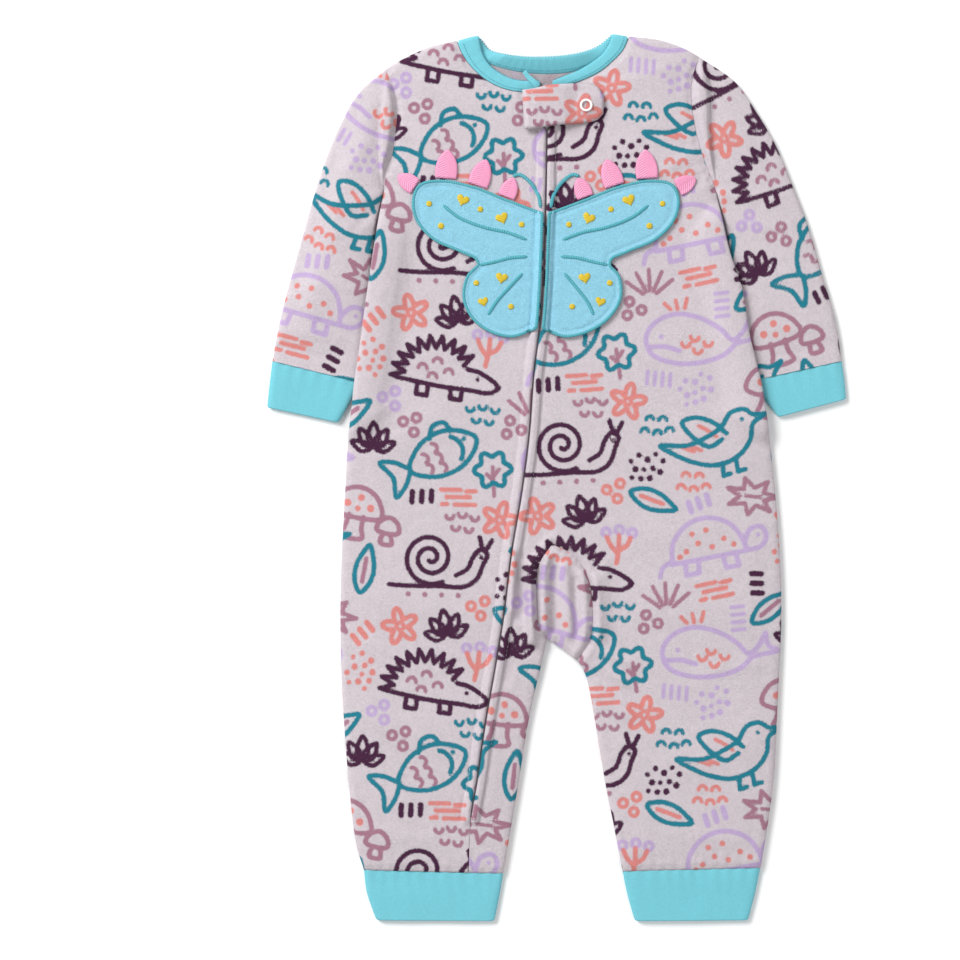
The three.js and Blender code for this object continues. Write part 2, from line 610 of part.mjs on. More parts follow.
// The gusset's point lies on the row at its height, at a fixed share of the right front's width
const gussetTop = mix(zipEdge(1)(GUSSET_TOP_Y), crossing(chains.sideRight, GUSSET_TOP_Y), GUSSET_SHARE);
const crotch = OUTLINE.inseamLeft.at(-1);
const fork = crossing(chains.inseamRight, GUSSET_FORK_Y);
const gussetLeft = through([crotch, ...GUSSET_LEFT, [gussetTop.x, gussetTop.y]]);
const gussetRight = through([[fork.x, fork.y], ...GUSSET_RIGHT, [gussetTop.x, gussetTop.y]]);
function frontRight() {
  const zipSide = (low, high) => (u) => zipEdge(1)(lerp(low, high, u));
  const strip = (relax) => (width) => columnsFor(width, WELT_STEPS, FEW_STEPS, 2, relax);
  const side = (relax) => fromRight((width) => columnsFor(width, SIDE_STEPS, FEW_STEPS, 3, relax));
  const torso = (low, high) => (width, u) => {
    const relax = smooth((lerp(low, high, u) - GUSSET_TOP_Y) / CROTCH_RELAX);
    const stripShares = strip(relax)(width * GUSSET_SHARE).map((s) => s * GUSSET_SHARE);
    const sideShares = side(relax)(width * (1 - GUSSET_SHARE)).map((s) => lerp(GUSSET_SHARE, 1, s));
    return [...stripShares, ...sideShares.slice(1)];
  };
  const { sideRight, inseamLeft, inseamRight } = chains;
  return new Net()
    .block(zipSide(foot('zip'), CROTCH_Y), upTo(inseamLeft, foot('inseamLeft'), CROTCH_Y), LEG_ROWS, strip(0))
    .block(zipSide(CROTCH_Y, GUSSET_TOP_Y), (u) => gussetLeft.getPointAt(u), even(GUSSET_ROWS), strip(0))
    .block(upTo(inseamRight, foot('inseamRight'), fork.y), upTo(sideRight, foot('sideRight'), fork.y),
      LEG_ROWS, side(0))
    .block((u) => gussetRight.getPointAt(u), upTo(sideRight, fork.y, GUSSET_TOP_Y), even(GUSSET_ROWS), side(0))
    .block(zipSide(GUSSET_TOP_Y, UNDERARM_Y), upTo(sideRight, GUSSET_TOP_Y, UNDERARM_Y),
      even(TORSO_ROWS), torso(GUSSET_TOP_Y, UNDERARM_Y))
    .block(zipSide(UNDERARM_Y, ZIP_TOP), part(edges.armholeRight, 0, ARM_SPLIT), CHEST_ROWS,
      torso(UNDERARM_Y, ZIP_TOP))
    .block(part(edges.neckFrontRight, 0, 1), part(edges.armholeRight, ARM_SPLIT, 1), NECK_ROWS,
      torso(ZIP_TOP, ZIP_TOP), shoulderBow.right);
}

// The back: two legs that join at the crotch, and a middle line from there up to the neck
function back() {
  const neckMiddle = 0.5;
  const nape = edges.neckBack.getPointAt(neckMiddle);
  const middle = (low, high) => (u) => {
    const y = lerp(low, high, u);
    return { x: lerp(crotch[0], nape.x, (y - CROTCH_Y) / (nape.y - CROTCH_Y)), y };
  };
  const half = (relax) => (width) => columnsFor(width, SIDE_STEPS, FEW_STEPS, 3, relax);
  const hip = (width, u) => half(smooth(u))(width);
  const { sideLeft, sideRight, inseamLeft, inseamRight } = chains;
  const neckUp = (side) => (u) => edges.neckBack.getPointAt(neckMiddle + side * neckMiddle * u);
  return new Net()
    .block(upTo(sideLeft, foot('sideLeft'), CROTCH_Y), upTo(inseamLeft, foot('inseamLeft'), CROTCH_Y),
      LEG_ROWS, half(0))
    .block(upTo(sideLeft, CROTCH_Y, GUSSET_TOP_Y), middle(CROTCH_Y, GUSSET_TOP_Y), even(HIP_ROWS), hip)
    .block(upTo(sideLeft, GUSSET_TOP_Y, UNDERARM_Y), middle(GUSSET_TOP_Y, UNDERARM_Y), even(TORSO_ROWS),
      half(1))
    .block(part(edges.armholeLeft, 0, ARM_SPLIT), middle(UNDERARM_Y, nape.y), CHEST_ROWS, half(1))
    .block(part(edges.armholeLeft, ARM_SPLIT, 1), neckUp(-1), NECK_ROWS, half(1), shoulderBow.left)
    .block(upTo(inseamRight, foot('inseamRight'), CROTCH_Y), upTo(sideRight, foot('sideRight'), CROTCH_Y),
      LEG_ROWS, fromRight(half(0)))
    .block(middle(CROTCH_Y, GUSSET_TOP_Y), upTo(sideRight, CROTCH_Y, GUSSET_TOP_Y), even(HIP_ROWS),
      fromRight(hip))
    .block(middle(GUSSET_TOP_Y, UNDERARM_Y), upTo(sideRight, GUSSET_TOP_Y, UNDERARM_Y), even(TORSO_ROWS),
      fromRight(half(1)))
    .block(middle(UNDERARM_Y, nape.y), part(edges.armholeRight, 0, ARM_SPLIT), CHEST_ROWS, fromRight(half(1)))
    .block(neckUp(1), part(edges.armholeRight, ARM_SPLIT, 1), NECK_ROWS, fromRight(half(1)),
      shoulderBow.right);
}

// The gusset fills the space between the right front's two arms, and wraps under at the crotch
function gusset() {
  const aside = (curve, side) => (u) => {
    const spot = chords(curve, even(GUSSET_ROWS))(u * GUSSET_REACH);
    return { x: spot.x + side * SEAM_GAP * GUSSET_SPREAD, y: spot.y };
  };
  const rows = [0, 0.03, 0.08, ...even(GUSSET_ROWS - 1, 1 / GUSSET_ROWS)];
  return new Net().block(aside(gussetLeft, 1), aside(gussetRight, -1), rows, () => even(GUSSET_COLUMNS));
}

// Sleeves: rings from the armhole to the cuff; the first one follows the armhole
function sleeve(side) {
  const rows = named(SLEEVE_ROWS, SLEEVE_ROWS[side]);
  const outer = through(rows.map(({ outerX, outerY }) => [outerX, outerY]));
  const under = through(rows.map(({ underX, underY }) => [underX, underY]));
  const [armholeName, away] = side === 'left' ? ['armholeLeft', -1] : ['armholeRight', 1];
  const armhole = edges[armholeName];
  const armholeChain = chains[armholeName];
  const rise = (x, y) => {
    const fromSeam = (distanceToChain(armholeChain, x, y) - SLEEVE_HEAD_AT) / SLEEVE_HEAD_HALF;
    return SLEEVE_HEAD_RISE * Math.exp(-fromSeam * fromSeam);
  };
  return openTube(SLEEVE_STATIONS.map((row) => {
    const v = row / (rows.length - 1);
    const a = outer.getPoint(v);
    const b = under.getPoint(v);
    const width = Math.hypot(b.x - a.x, b.y - a.y);
    const fade = (1 - v) ** SLEEVE_BOW_FADE;
    const spot = (s) => {
      const straight = mix(a, b, s);
      const head = armhole.getPointAt(1 - s);
      const chord = mix(armhole.getPointAt(1), armhole.getPointAt(0), s);
      return {
        x: straight.x + (head.x - chord.x) * fade + away * ARMHOLE_GAP * fade,
        y: straight.y + (head.y - chord.y) * fade,
      };
    };
    return flatRing(spot, width, SLEEVE_WALL, rise);
  }));
}

function cuff(name) {
  const rows = named(CUFF_ROWS, CUFF_ROWS.pieces[name]);
  const leftEdge = through(rows.map(({ leftX, leftY }) => [leftX, leftY]));
  const rightEdge = through(rows.map(({ rightX, rightY }) => [rightX, rightY]));
  return openTube(CUFF_STATIONS.map((v) => {
    const a = leftEdge.getPoint(v);
    const b = rightEdge.getPoint(v);
    const width = Math.hypot(b.x - a.x, b.y - a.y);
    return flatRing((s) => mix(a, b, s), width, CUFF_WALL, () => 0, v === 1 ? CUFF_HEM : 1);
  }));
}

// The neck band: up the left front, over the shoulder, along the back, over and down the right front
function neckBand() {
  const frontZ = SEAM_Z + HALF_GAP + BAND_THICK / 2 + HALF_GAP;
  const backZ = BAND_THICK / 2;
  const turn = (frontZ - backZ) / 2;
  const reach = turn + BAND_THICK / 2;
  const seamRail = [];
  const freeRail = [];
  // The seam lies just off the panel's own straight edges
  const aside = (edge, u, sign) => {
    const [before, after] = [edge(Math.max(u - BAND_NUDGE, 0)), edge(Math.min(u + BAND_NUDGE, 1))];
    const along = new THREE.Vector3(after.x - before.x, after.y - before.y, 0).normalize();
    const spot = edge(u);
    return new THREE.Vector3(spot.x - along.y * sign * SEAM_GAP, spot.y + along.x * sign * SEAM_GAP, 0);
  };
  const seamLeft = chords(edges.neckFrontLeft, NECK_ROWS);
  const seamRight = chords(edges.neckFrontRight, NECK_ROWS);
  const backHalf = NECK_ROWS.map((u) => u / 2);
  const backStops = [...backHalf.map((u) => 0.5 - u).reverse(), ...backHalf.slice(1).map((u) => 0.5 + u)];
  const seamBack = chords(edges.neckBack, backStops);
  const put = (seam, free, z, shift = new THREE.Vector3()) => {
    seamRail.push(seam.clone().setZ(z).add(shift));
    freeRail.push(free.clone().setZ(z).add(shift));
  };
  // Over the shoulder the band turns from its place on the front to its place on the back
  const fold = (frontEnds, backEnds, outward, angles) => angles.forEach((angle) => {
    const z = backZ + turn + turn * Math.cos(angle);
    const [seam, free] = frontEnds.map((end, i) => end.clone().lerp(backEnds[i], angle / Math.PI));
    put(seam, free, z, outward.clone().multiplyScalar(turn * Math.sin(angle)));
  });
  const front = (seam, free, sign, shares) => shares.forEach((u) => {
    put(aside(seam, u, sign), free.getPointAt(u), frontZ);
  });
  const outwardOf = (seam, free) => {
    const across = free.clone().sub(seam).normalize();
    return new THREE.Vector3(-across.y, across.x, 0);
  };
  const turns = even(BAND_TURNS, 0, Math.PI);
  const shares = NECK_ROWS.filter((u) => u < BAND_FOLD_SHARE);
  const nearEnd = 1 - reach / BAND_SIDE_LENGTH;
  const backEnd = reach / (2 * BAND_SIDE_LENGTH);
  const endsOf = (seam, free, u, sign) => [aside(seam, u, sign), free.getPointAt(u)];
  front(seamLeft, edges.bandFrontLeft, -1, shares);
  const leftFront = endsOf(seamLeft, edges.bandFrontLeft, nearEnd, -1);
  fold(leftFront, endsOf(seamBack, edges.bandBack, backEnd, 1), outwardOf(...leftFront), turns);
  backStops.filter((u) => u > 1 - BAND_FOLD_SHARE && u < BAND_FOLD_SHARE).forEach((u) => {
    put(aside(seamBack, u, 1), edges.bandBack.getPointAt(u), backZ);
  });
  const rightFront = endsOf(seamRight, edges.bandFrontRight, nearEnd, 1);
  fold(rightFront, endsOf(seamBack, edges.bandBack, 1 - backEnd, 1), outwardOf(...rightFront.toReversed()),
    turns.toReversed());
  front(seamRight, edges.bandFrontRight, 1, shares.toReversed());
  return ribbon(seamRail, freeRail, BAND_THICK);
}

// The zip: a tape under both fronts, with its closed chain along the middle
function zipTape() {
  const [first, , , chainEdge, , last] = TAPE_COLUMNS;
  const edge = (off) => (u) => {
    const y = lerp(ZIP_BOTTOM + TAPE_END.bottom, ZIP_TOP - TAPE_END.top, u);
    return { x: crossing(zipLine, y).x + off, y };
  };
  const shares = TAPE_COLUMNS.map((off) => (off - first) / (last - first));
  const net = new Net().block(edge(first), edge(last), even(TAPE_ROWS), () => shares);
  const bottom = (x, y) => SEAM_Z + HALF_GAP / 2 + tuckLift(x, y);
  const onChain = (x, y) => fromZip(x, y) < chainEdge + TAPE_CLEAR;
  const top = (x, y) => bottom(x, y) + TAPE_THICK + (onChain(x, y) ? CHAIN_HEIGHT : 0);
  return wall(net, top, bottom);
}

function roundedPlate(width, length, thick, radius, hole = 0) {
  const shape = new THREE.Shape();
  const [w, h] = [width / 2, length / 2];
  shape.moveTo(-w + radius, -h);
  shape.lineTo(w - radius, -h);
  shape.absarc(w - radius, -h + radius, radius, -Math.PI / 2, 0);
  shape.absarc(w - radius, h - radius, radius, 0, Math.PI / 2);
  shape.absarc(-w + radius, h - radius, radius, Math.PI / 2, Math.PI);
  shape.absarc(-w + radius, -h + radius, radius, Math.PI, 1.5 * Math.PI);
  if (hole > 0) {
    shape.holes.push(new THREE.Path().absarc(0, -h + 2 * hole, hole, 0, 2 * Math.PI));
  }
  return new THREE.ExtrudeGeometry(shape, { depth: thick, bevelEnabled: false, curveSegments: CORNER_SIDES });
}

// A pad lies on the cloth: base(x, y) is its underside, and its edges roll over
function pad(net, base, thick, rim, run) {
  const top = (x, y) => base(x, y) + thick * roll(nearest(rim, x, y), run);
  return wall(net, top, base);
}

// The tab lies on the fronts and bridges the zip's welts and the snap's stud
function tabBottom(x, y) {
  const overZip = TAB_OVER_ZIP * (1 - smooth((fromZip(x, y) - TAB_FLAT) / TAB_FALL));
  const fromStud = Math.hypot(x - SNAP.x, y - SNAP.y) - STUD.radius;
  const overStud = (STUD.height + TAB_CLEAR) * (1 - smooth(fromStud / STUD.room));
  return TAB_REST + Math.max(overZip, overStud);
}

function zipTab() {
  const lower = through(TAB_LOWER);
  const upper = through(TAB_UPPER);
  const columns = (width) => columnsFor(width, FEW_STEPS, FEW_STEPS, 4);
  const net = new Net().block(part(upper, 0, 1), part(lower, 0, 1), TAB_ROWS, columns);
  const ends = [0, 1].map((u) => [lower.getPointAt(u), upper.getPointAt(u)]);
  return pad(net, tabBottom, TAB_THICK, [chain(lower), chain(upper), ...ends], TAB_ROLL);
}

// Applique: two wings that mirror each other across the zip, on the fronts
const wingSpot = (side) => ([reach, rise]) => {
  const y = WING_Y + rise;
  return [crossing(zipLine, y).x + side * reach, y];
};
const clothTop = (x, y) => frontTop(x, y) + ON_CLOTH;

function wingShape(side) {
  const outline = through(WING_OUTLINE.map(wingSpot(side)));
  const inset = ZIP_HALF_GAP + WING_INSET;
  const start = wingSpot(side)([inset, WING_INNER[0]]);
  const end = wingSpot(side)([inset, WING_INNER[1]]);
  const inner = (u) => {
    const y = lerp(start[1], end[1], u);
    return { x: crossing(zipLine, y).x + side * inset, y };
  };
  return { outline, inner, innerChain: even(RIM_COUNT).map(inner) };
}

function wing(side) {
  const { outline, inner, innerChain } = wingShape(side);
  const columns = (width) => columnsFor(width, WING_COLUMNS.zip, WING_COLUMNS.edge, 3);
  const net = new Net().block(inner, part(outline, 0, 1), even(WING_ROWS), columns);
  const ends = [0, 1].map((u) => [inner(u), outline.getPointAt(u)]);
  return pad(net, clothTop, WING_THICK, [chain(outline), innerChain, ...ends], WING_ROLL);
}

// A petal stands out from the wing's outline, rounded at its tip
function petal(side, { along, length, half }) {
  const { outline } = wingShape(side);
  const root = outline.getPointAt(along);
  const tangent = outline.getTangentAt(along);
  const out = { x: side * tangent.y, y: -side * tangent.x };
  const edge = (sign) => (u) => {
    const across = sign * (half * Math.sqrt(Math.max(1 - u ** PETAL_POWER, 0)) + PETAL_BLUNT);
    const away = PETAL_GAP + u * length;
    return { x: root.x + out.x * away + out.y * across, y: root.y + out.y * away - out.x * across };
  };
  const net = new Net().block(edge(-1), edge(1), PETAL_ROWS, () => PETAL_COLUMNS);
  const sides = [edge(-1), edge(1)];
  const rim = [...sides.map((line) => even(RIM_COUNT).map(line)), sides.map((line) => line(0))];
  return pad(net, clothTop, PETAL_THICK, rim, PETAL_ROLL);
}

// Slider and pull lie in the zip's opened top, under the tab
function onZip({ y, width, length, height, corner, hole }) {
  const { x } = crossing(zipLine, y);
  return roundedPlate(width, length, height, corner, hole).translate(x, y, frontInside(x, y) + HALF_GAP);
}

// The snap: an open ring on the tab and a stud between tab and front
function snapRing() {
  const { radius, hole, height, round } = SNAP;
  const profile = [
    [hole, 0], [radius, 0], [radius, height - round], [radius - round, height], [hole + round, height],
    [hole, height - round], [hole, 0],
  ].map(([x, y]) => new THREE.Vector2(x, y));
  return new THREE.LatheGeometry(profile, SNAP_SIDES).rotateX(Math.PI / 2)
    .translate(SNAP.x, SNAP.y, tabBottom(SNAP.x, SNAP.y) + TAB_THICK + SEAM_GAP);
}

function snapStud() {
  const low = frontTop(SNAP.x, SNAP.y) + ON_CLOTH;
  const high = tabBottom(SNAP.x, SNAP.y) - SEAM_GAP;
  return new THREE.CylinderGeometry(STUD.radius, STUD.radius, high - low, SNAP_SIDES)
    .rotateX(Math.PI / 2).translate(SNAP.x, SNAP.y, (high + low) / 2);
}

add('back', wall(back(), backInside, backBottom), 'fleece');
add('front_left', wall(frontLeft(), frontTop, frontInside), 'fleece');
add('front_right', wall(frontRight(), frontTop, frontInside), 'fleece');
add('gusset', wall(gusset(), frontTop, frontInside), 'fleece');
add('sleeve_left', sleeve('left'), 'fleece');
add('sleeve_right', sleeve('right'), 'fleece');
Object.keys(CUFF_ROWS.pieces).forEach((name) => add(`cuff_${name}`, cuff(name), 'trim'));
add('neck_band', neckBand(), 'trim');
add('zip_tape', zipTape(), 'tape');
add('zip_slider', onZip(SLIDER), 'metal');
add('zip_pull', onZip(PULL), 'metal');
add('zip_tab', zipTab(), 'fleece');
add('snap_ring', snapRing(), 'metal');
add('snap_stud', snapStud(), 'metal');
[['left', -1], ['right', 1]].forEach(([name, side]) => {
  add(`wing_${name}`, wing(side), 'wing');
  named(PETALS, PETALS.rows).forEach((row, i) => add(`petal_${name}_${i + 1}`, petal(side, row), 'petal'));
});

export default group;
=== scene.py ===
"""Looks of a baby's footless onesie pajama in printed fleece, laid flat with its front up.

Lengths in the tables are millimetres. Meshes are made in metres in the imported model's frame:
+Z points up out of the front, +Y to the neck, +X to the right of someone who looks down on it.
"""
from __future__ import annotations

import logging
import math
from dataclasses import dataclass, field
from enum import Enum, IntEnum
from functools import partial
from typing import Callable, Sequence

import bpy
import numpy as np
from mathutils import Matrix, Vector
from numpy.typing import NDArray


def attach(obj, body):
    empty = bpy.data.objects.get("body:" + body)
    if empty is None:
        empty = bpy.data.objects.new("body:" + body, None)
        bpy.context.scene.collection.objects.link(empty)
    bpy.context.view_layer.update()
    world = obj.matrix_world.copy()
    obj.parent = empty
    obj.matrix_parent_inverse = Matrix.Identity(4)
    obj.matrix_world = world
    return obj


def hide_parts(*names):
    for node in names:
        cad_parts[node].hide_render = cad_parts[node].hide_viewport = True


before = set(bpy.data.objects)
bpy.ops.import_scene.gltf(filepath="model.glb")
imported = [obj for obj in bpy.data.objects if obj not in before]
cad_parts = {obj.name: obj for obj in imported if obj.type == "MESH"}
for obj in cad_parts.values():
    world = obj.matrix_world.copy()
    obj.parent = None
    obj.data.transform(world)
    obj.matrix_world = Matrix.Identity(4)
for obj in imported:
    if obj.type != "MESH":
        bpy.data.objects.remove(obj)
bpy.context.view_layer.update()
MM = 0.001
LOG = logging.getLogger("onesie")

Array = NDArray[np.float64]
Ids = NDArray[np.int64]
Points = Sequence[Sequence[float]]
# Gives an edge's points from how many rows it is cut into
Rail = Callable[[int], Array]
# Where on the print's repeat a piece is cut, and the angle in degrees at which it is cut
Place = tuple[float, float, float]
Socket = bpy.types.NodeSocket

# Cloth thickness and the spaces between layers
WALL, SLEEVE_WALL, CUFF_WALL = 2.8, 2.3, 2.0
BAND_THICK, TAB_THICK, WING_THICK, PETAL_THICK = 2.4, 3.4, 2.0, 1.3
HALF_GAP = 0.2
SEAM_Z = WALL + HALF_GAP
# The share of its thickness that a rolled edge starts with, and how far a folded one rolls
ROLL_START, ROLL_RUN = 0.22, 5.5
# How far from a small piece's rim it is measured
RIM_REACH = 12.0

# Heights where the panels' blocks of rows meet
UNDERARM_Y, CROTCH_Y = 208.5, -115.5
GUSSET_TOP_Y, GUSSET_FORK_Y = -48.0, -132.0
GUSSET_SHARE, ARM_SPLIT = 0.145, 0.55
ZIP_TOP, ZIP_BOTTOM, WING_Y = 277.5, -246.0, 167.0

# Distances from an edge at which a piece has its close columns of points
SIDE_STEPS = [0, 0.25, 0.8, 1.7, 2.8, 4, 5.4]
FEW_STEPS = [0, 0.3, 0.9, 2.1, 3.5]
WELT_STEPS = [0, 0.25, 0.7, 1.5, 2.6, 3.7, 4.6, 5.1, 5.6, 6.2, 7.2]

# Edges of the garment seen from above, each a smooth curve through [x, y], from the legs up
OUTLINE: dict[str, Points] = {
    "side_left": [
        [-139, -283], [-144.5, -264.5], [-149.5, -225], [-154, -166], [-156, -110], [-155, -58.5],
        [-152.5, -9], [-150.5, 25.5], [-148, 48.5], [-146, 68], [-141.5, 99], [-137.5, 128],
        [-131, 171], [-124.5, 208.5],
    ],
    "side_right": [
        [147, -281.5], [152, -251.5], [156.5, -218], [159.5, -160], [162, -102.5], [161.5, -66.5],
        [158, -16], [153, 32], [150, 52], [147, 69.5], [139, 102.5], [133.5, 135.5],
        [124.5, 163], [114.5, 208.5],
    ],
    "armhole_left": [
        [-124.5, 208.5], [-122.5, 221.5], [-118.5, 233], [-116, 251], [-115, 269], [-117.5, 281],
        [-123.5, 294],
    ],
    "armhole_right": [
        [114.5, 208.5], [107.5, 225.5], [101, 246], [97.5, 266], [97, 284], [102.5, 303.5],
    ],
    "shoulder_left": [[-123.5, 294], [-110.5, 302], [-92.5, 310], [-72.5, 315]],
    "shoulder_right": [[102.5, 303.5], [91.5, 309.5], [73, 315.5], [52.5, 318]],
    "inseam_left": [
        [-38.5, -285.5], [-33.5, -256], [-26.5, -214], [-21.5, -182], [-16.5, -157.5], [-11.5, -137],
        [-7, -115.5],
    ],
    "inseam_right": [
        [47.5, -284], [41, -250], [35, -220], [28, -177.5], [24.5, -157.5], [21, -143],
        [15, -132], [5.5, -124], [-7, -115.5],
    ],
    "zip": [
        [-63.5, -285], [-62, -246], [-57.5, -218.5], [-51.5, -177], [-44, -134.5], [-38.5, -101],
        [-32.5, -53.5], [-25, -9], [-20, 30], [-16.5, 75], [-11.5, 117], [-8.5, 178], [-7, 253],
        [-6.5, 281],
    ],
    "neck_front_left": [
        [-26, 277.8], [-36, 279.5], [-48, 284.5], [-59, 293], [-67.5, 304], [-72.5, 315],
    ],
    "neck_front_right": [
        [11.5, 283.5], [21.5, 287.5], [32, 293], [40.5, 300], [48, 308], [52.5, 318],
    ],
    "neck_back": [
        [-72.5, 315], [-61, 304], [-46.5, 297.5], [-26.5, 292.5], [-7, 291], [11, 292.5],
        [27, 297.5], [42, 306], [52.5, 318],
    ],
    "band_front_left": [
        [-12.5, 286], [-24.5, 286], [-31.5, 287.2], [-40, 291], [-48, 297], [-53.5, 305.5],
        [-56.5, 318.5],
    ],
    "band_front_right": [
        [-3, 286], [6.5, 289.8], [15.5, 293.5], [25.5, 299.5], [33, 305.5], [37.5, 312],
        [40, 319.1],
    ],
    "band_back": [
        [-56.5, 318.5], [-49, 309], [-38, 305], [-22, 303], [-7, 303], [6.5, 304], [19.5, 306.5],
        [30.5, 311.5], [40, 319.1],
    ],
}


class Ink(IntEnum):
    """The print's inks, in the order in which a mesh stores their distances."""

    TEAL = 0
    PLUM = 1
    CORAL = 2
    MAUVE = 3
    LILAC = 4


# The inks on the cloth, the colour of its unprinted wrong side darkened as painted shade, and the inks' short names
# in the print's tables
INKS = {Ink.TEAL: "1f7d90", Ink.PLUM: "451f3d", Ink.CORAL: "db8782", Ink.MAUVE: "a6778a", Ink.LILAC: "c0a9d0"}
WRONG_SIDE_PAINTED_SHADE = "b3a9ae"
T, P, C, M, L = Ink


class Slot(Enum):
    """The record's material slots."""

    FLEECE = "fleece"
    TRIM = "trim"
    WING = "wing"
    PETAL = "petal"
    TAPE = "tape"
    METAL = "metal"


def smooth(t: Array | float) -> Array:
    """Goes from 0 to 1 as t does, with no corner at either end."""
    t = np.clip(t, 0, 1)
    return t * t * (3 - 2 * t)


def bell(t: Array) -> Array:
    """Goes from 1 at 0 to 0 on both sides."""
    return np.exp(-(t**2))


def rounded(away: Array, run: float = ROLL_RUN) -> Array:
    """Gives the share of its thickness that cloth has at distances from its rolled edge."""
    rest = 1 - np.clip(away / run, 0, 1)
    return ROLL_START + (1 - ROLL_START) * np.sqrt(1 - rest**2)


def turn(degrees: float) -> Array:
    """Gives the matrix that turns rows of flat points."""
    c, s = math.cos(math.radians(degrees)), math.sin(math.radians(degrees))
    return np.array([[c, s], [-s, c]])


def circle(count: int) -> Array:
    """Gives the angles of points all round a circle."""
    return np.linspace(0, 2 * math.pi, count + 1)[:-1]


def travelled(path: Array) -> Array:
    """Gives how far along a path each of its points is."""
    return np.concatenate([[0], np.cumsum(np.linalg.norm(np.diff(path, axis=0), axis=1))])


def sampled(path: Array, run: Array, at: Array | float) -> Array:
    """Reads a path's points where the distances in run pass those in at."""
    return np.stack([np.interp(at, run, column) for column in path.T], axis=-1)


def linear_colour(text: str) -> tuple[float, float, float, float]:
    """Reads a colour.

    Args:
        text: Six hexadecimal digits of an sRGB colour.

    Returns:
        The colour in linear light, with alpha 1.
    """
    parts = [int(text[i:i + 2], 16) / 255 for i in (0, 2, 4)]
    light = [p / 12.92 if p <= 0.04045 else ((p + 0.055) / 1.055) ** 2.4 for p in parts]
    return light[0], light[1], light[2], 1.0


def spline(points: Points | Array, closed: bool = False, steps: int = 8) -> Array:
    """Draws a smooth centripetal line through points.

    Args:
        points: The points to pass through.
        closed: Whether the last point joins the first.
        steps: How many short straights stand for each span.

    Returns:
        The line's points, each span's first one at a multiple of steps.
    """
    knots = np.asarray(points, float)
    if closed:
        knots = np.vstack([knots[-1], knots, knots[:2]])
    else:
        knots = np.vstack([2 * knots[0] - knots[1], knots, 2 * knots[-1] - knots[-2]])
    spans = []
    t = (np.arange(steps) / steps)[:, None]
    for p0, p1, p2, p3 in zip(knots, knots[1:], knots[2:], knots[3:]):
        d0, d1, d2 = (max(math.dist(a, b), 1e-6) ** 0.5 for a, b in ((p0, p1), (p1, p2), (p2, p3)))
        m1 = ((p1 - p0) / d0 - (p2 - p0) / (d0 + d1) + (p2 - p1) / d1) * d1
        m2 = ((p2 - p1) / d1 - (p3 - p1) / (d1 + d2) + (p3 - p2) / d2) * d1
        bend, twist = 3 * (p2 - p1) - 2 * m1 - m2, 2 * (p1 - p2) + m1 + m2
        spans.append(p1 + m1 * t + bend * t**2 + twist * t**3)
    return np.vstack([*spans, knots[-2:-1]])


class Curve:
    """A smooth curve through flat points, read by share of its length, by row or by height."""

    STEPS = 24
    CHAIN = 50

    def __init__(self, points: Points | Array) -> None:
        """Draws the curve.

        Args:
            points: The points that it passes through.
        """
        self.dense = spline(points, steps=self.STEPS)
        self.run = travelled(self.dense)
        self.length = float(self.run[-1])
        self.chain = self.at(np.linspace(0, 1, self.CHAIN + 1))

    def at(self, share: Array | float) -> Array:
        """Gives the points at shares of the length."""
        return sampled(self.dense, self.run, np.asarray(share) * self.length)

    def at_row(self, row: Array | float) -> Array:
        """Gives the points at rows, counted in the points that the curve was drawn through."""
        return sampled(self.dense, np.arange(len(self.dense)), np.asarray(row) * self.STEPS)

    def x_at(self, y: Array | float) -> Array:
        """Gives x where a curve that climbs all the way passes heights y."""
        return np.interp(y, self.dense[:, 1], self.dense[:, 0])

    def climb(self, low: float, high: float, count: int) -> Array:
        """Gives count + 1 points from height low to height high."""
        y = np.linspace(low, high, count + 1)
        return np.column_stack([self.x_at(y), y])

    def part(self, start: float, end: float, count: int) -> Array:
        """Gives count + 1 points from one share of the length to another."""
        return self.at(np.linspace(start, end, count + 1))


def to_line(points: Array, line: Array, reach: float = 1e6) -> tuple[Array, Array]:
    """Measures how far points lie from a line.

    Args:
        points: The points, one in each row.
        line: The line's points.
        reach: Points further than this from the line's box count as infinitely far.

    Returns:
        Each point's distance, and how far along the line its nearest place is.
    """
    best = np.full(len(points), 1e6)
    along = np.zeros(len(points))
    inside = np.all((points > line.min(0) - reach) & (points < line.max(0) + reach), axis=1)
    near = np.flatnonzero(inside)
    spots = points[near]
    found, place, start = np.full(len(near), 1e6), np.zeros(len(near)), 0.0
    if len(line) == 1:
        found = np.hypot(*(spots - line[0]).T)
    for a, b in zip(line, line[1:]):
        step = b - a
        size = math.hypot(*step)
        t = np.clip((spots - a) @ step / max(size * size, 1e-9), 0, 1)
        away = np.hypot(*(spots - a - t[:, None] * step).T)
        closer = away < found
        found = np.where(closer, away, found)
        place = np.where(closer, start + t * size, place)
        start += size
    best[near], along[near] = found, place
    return best, along


def nearest(points: Array, lines: Sequence[Array], reach: float) -> Array:
    """Gives each point's distance to the nearest of some lines."""
    return np.min([to_line(points, line, reach)[0] for line in lines], axis=0)


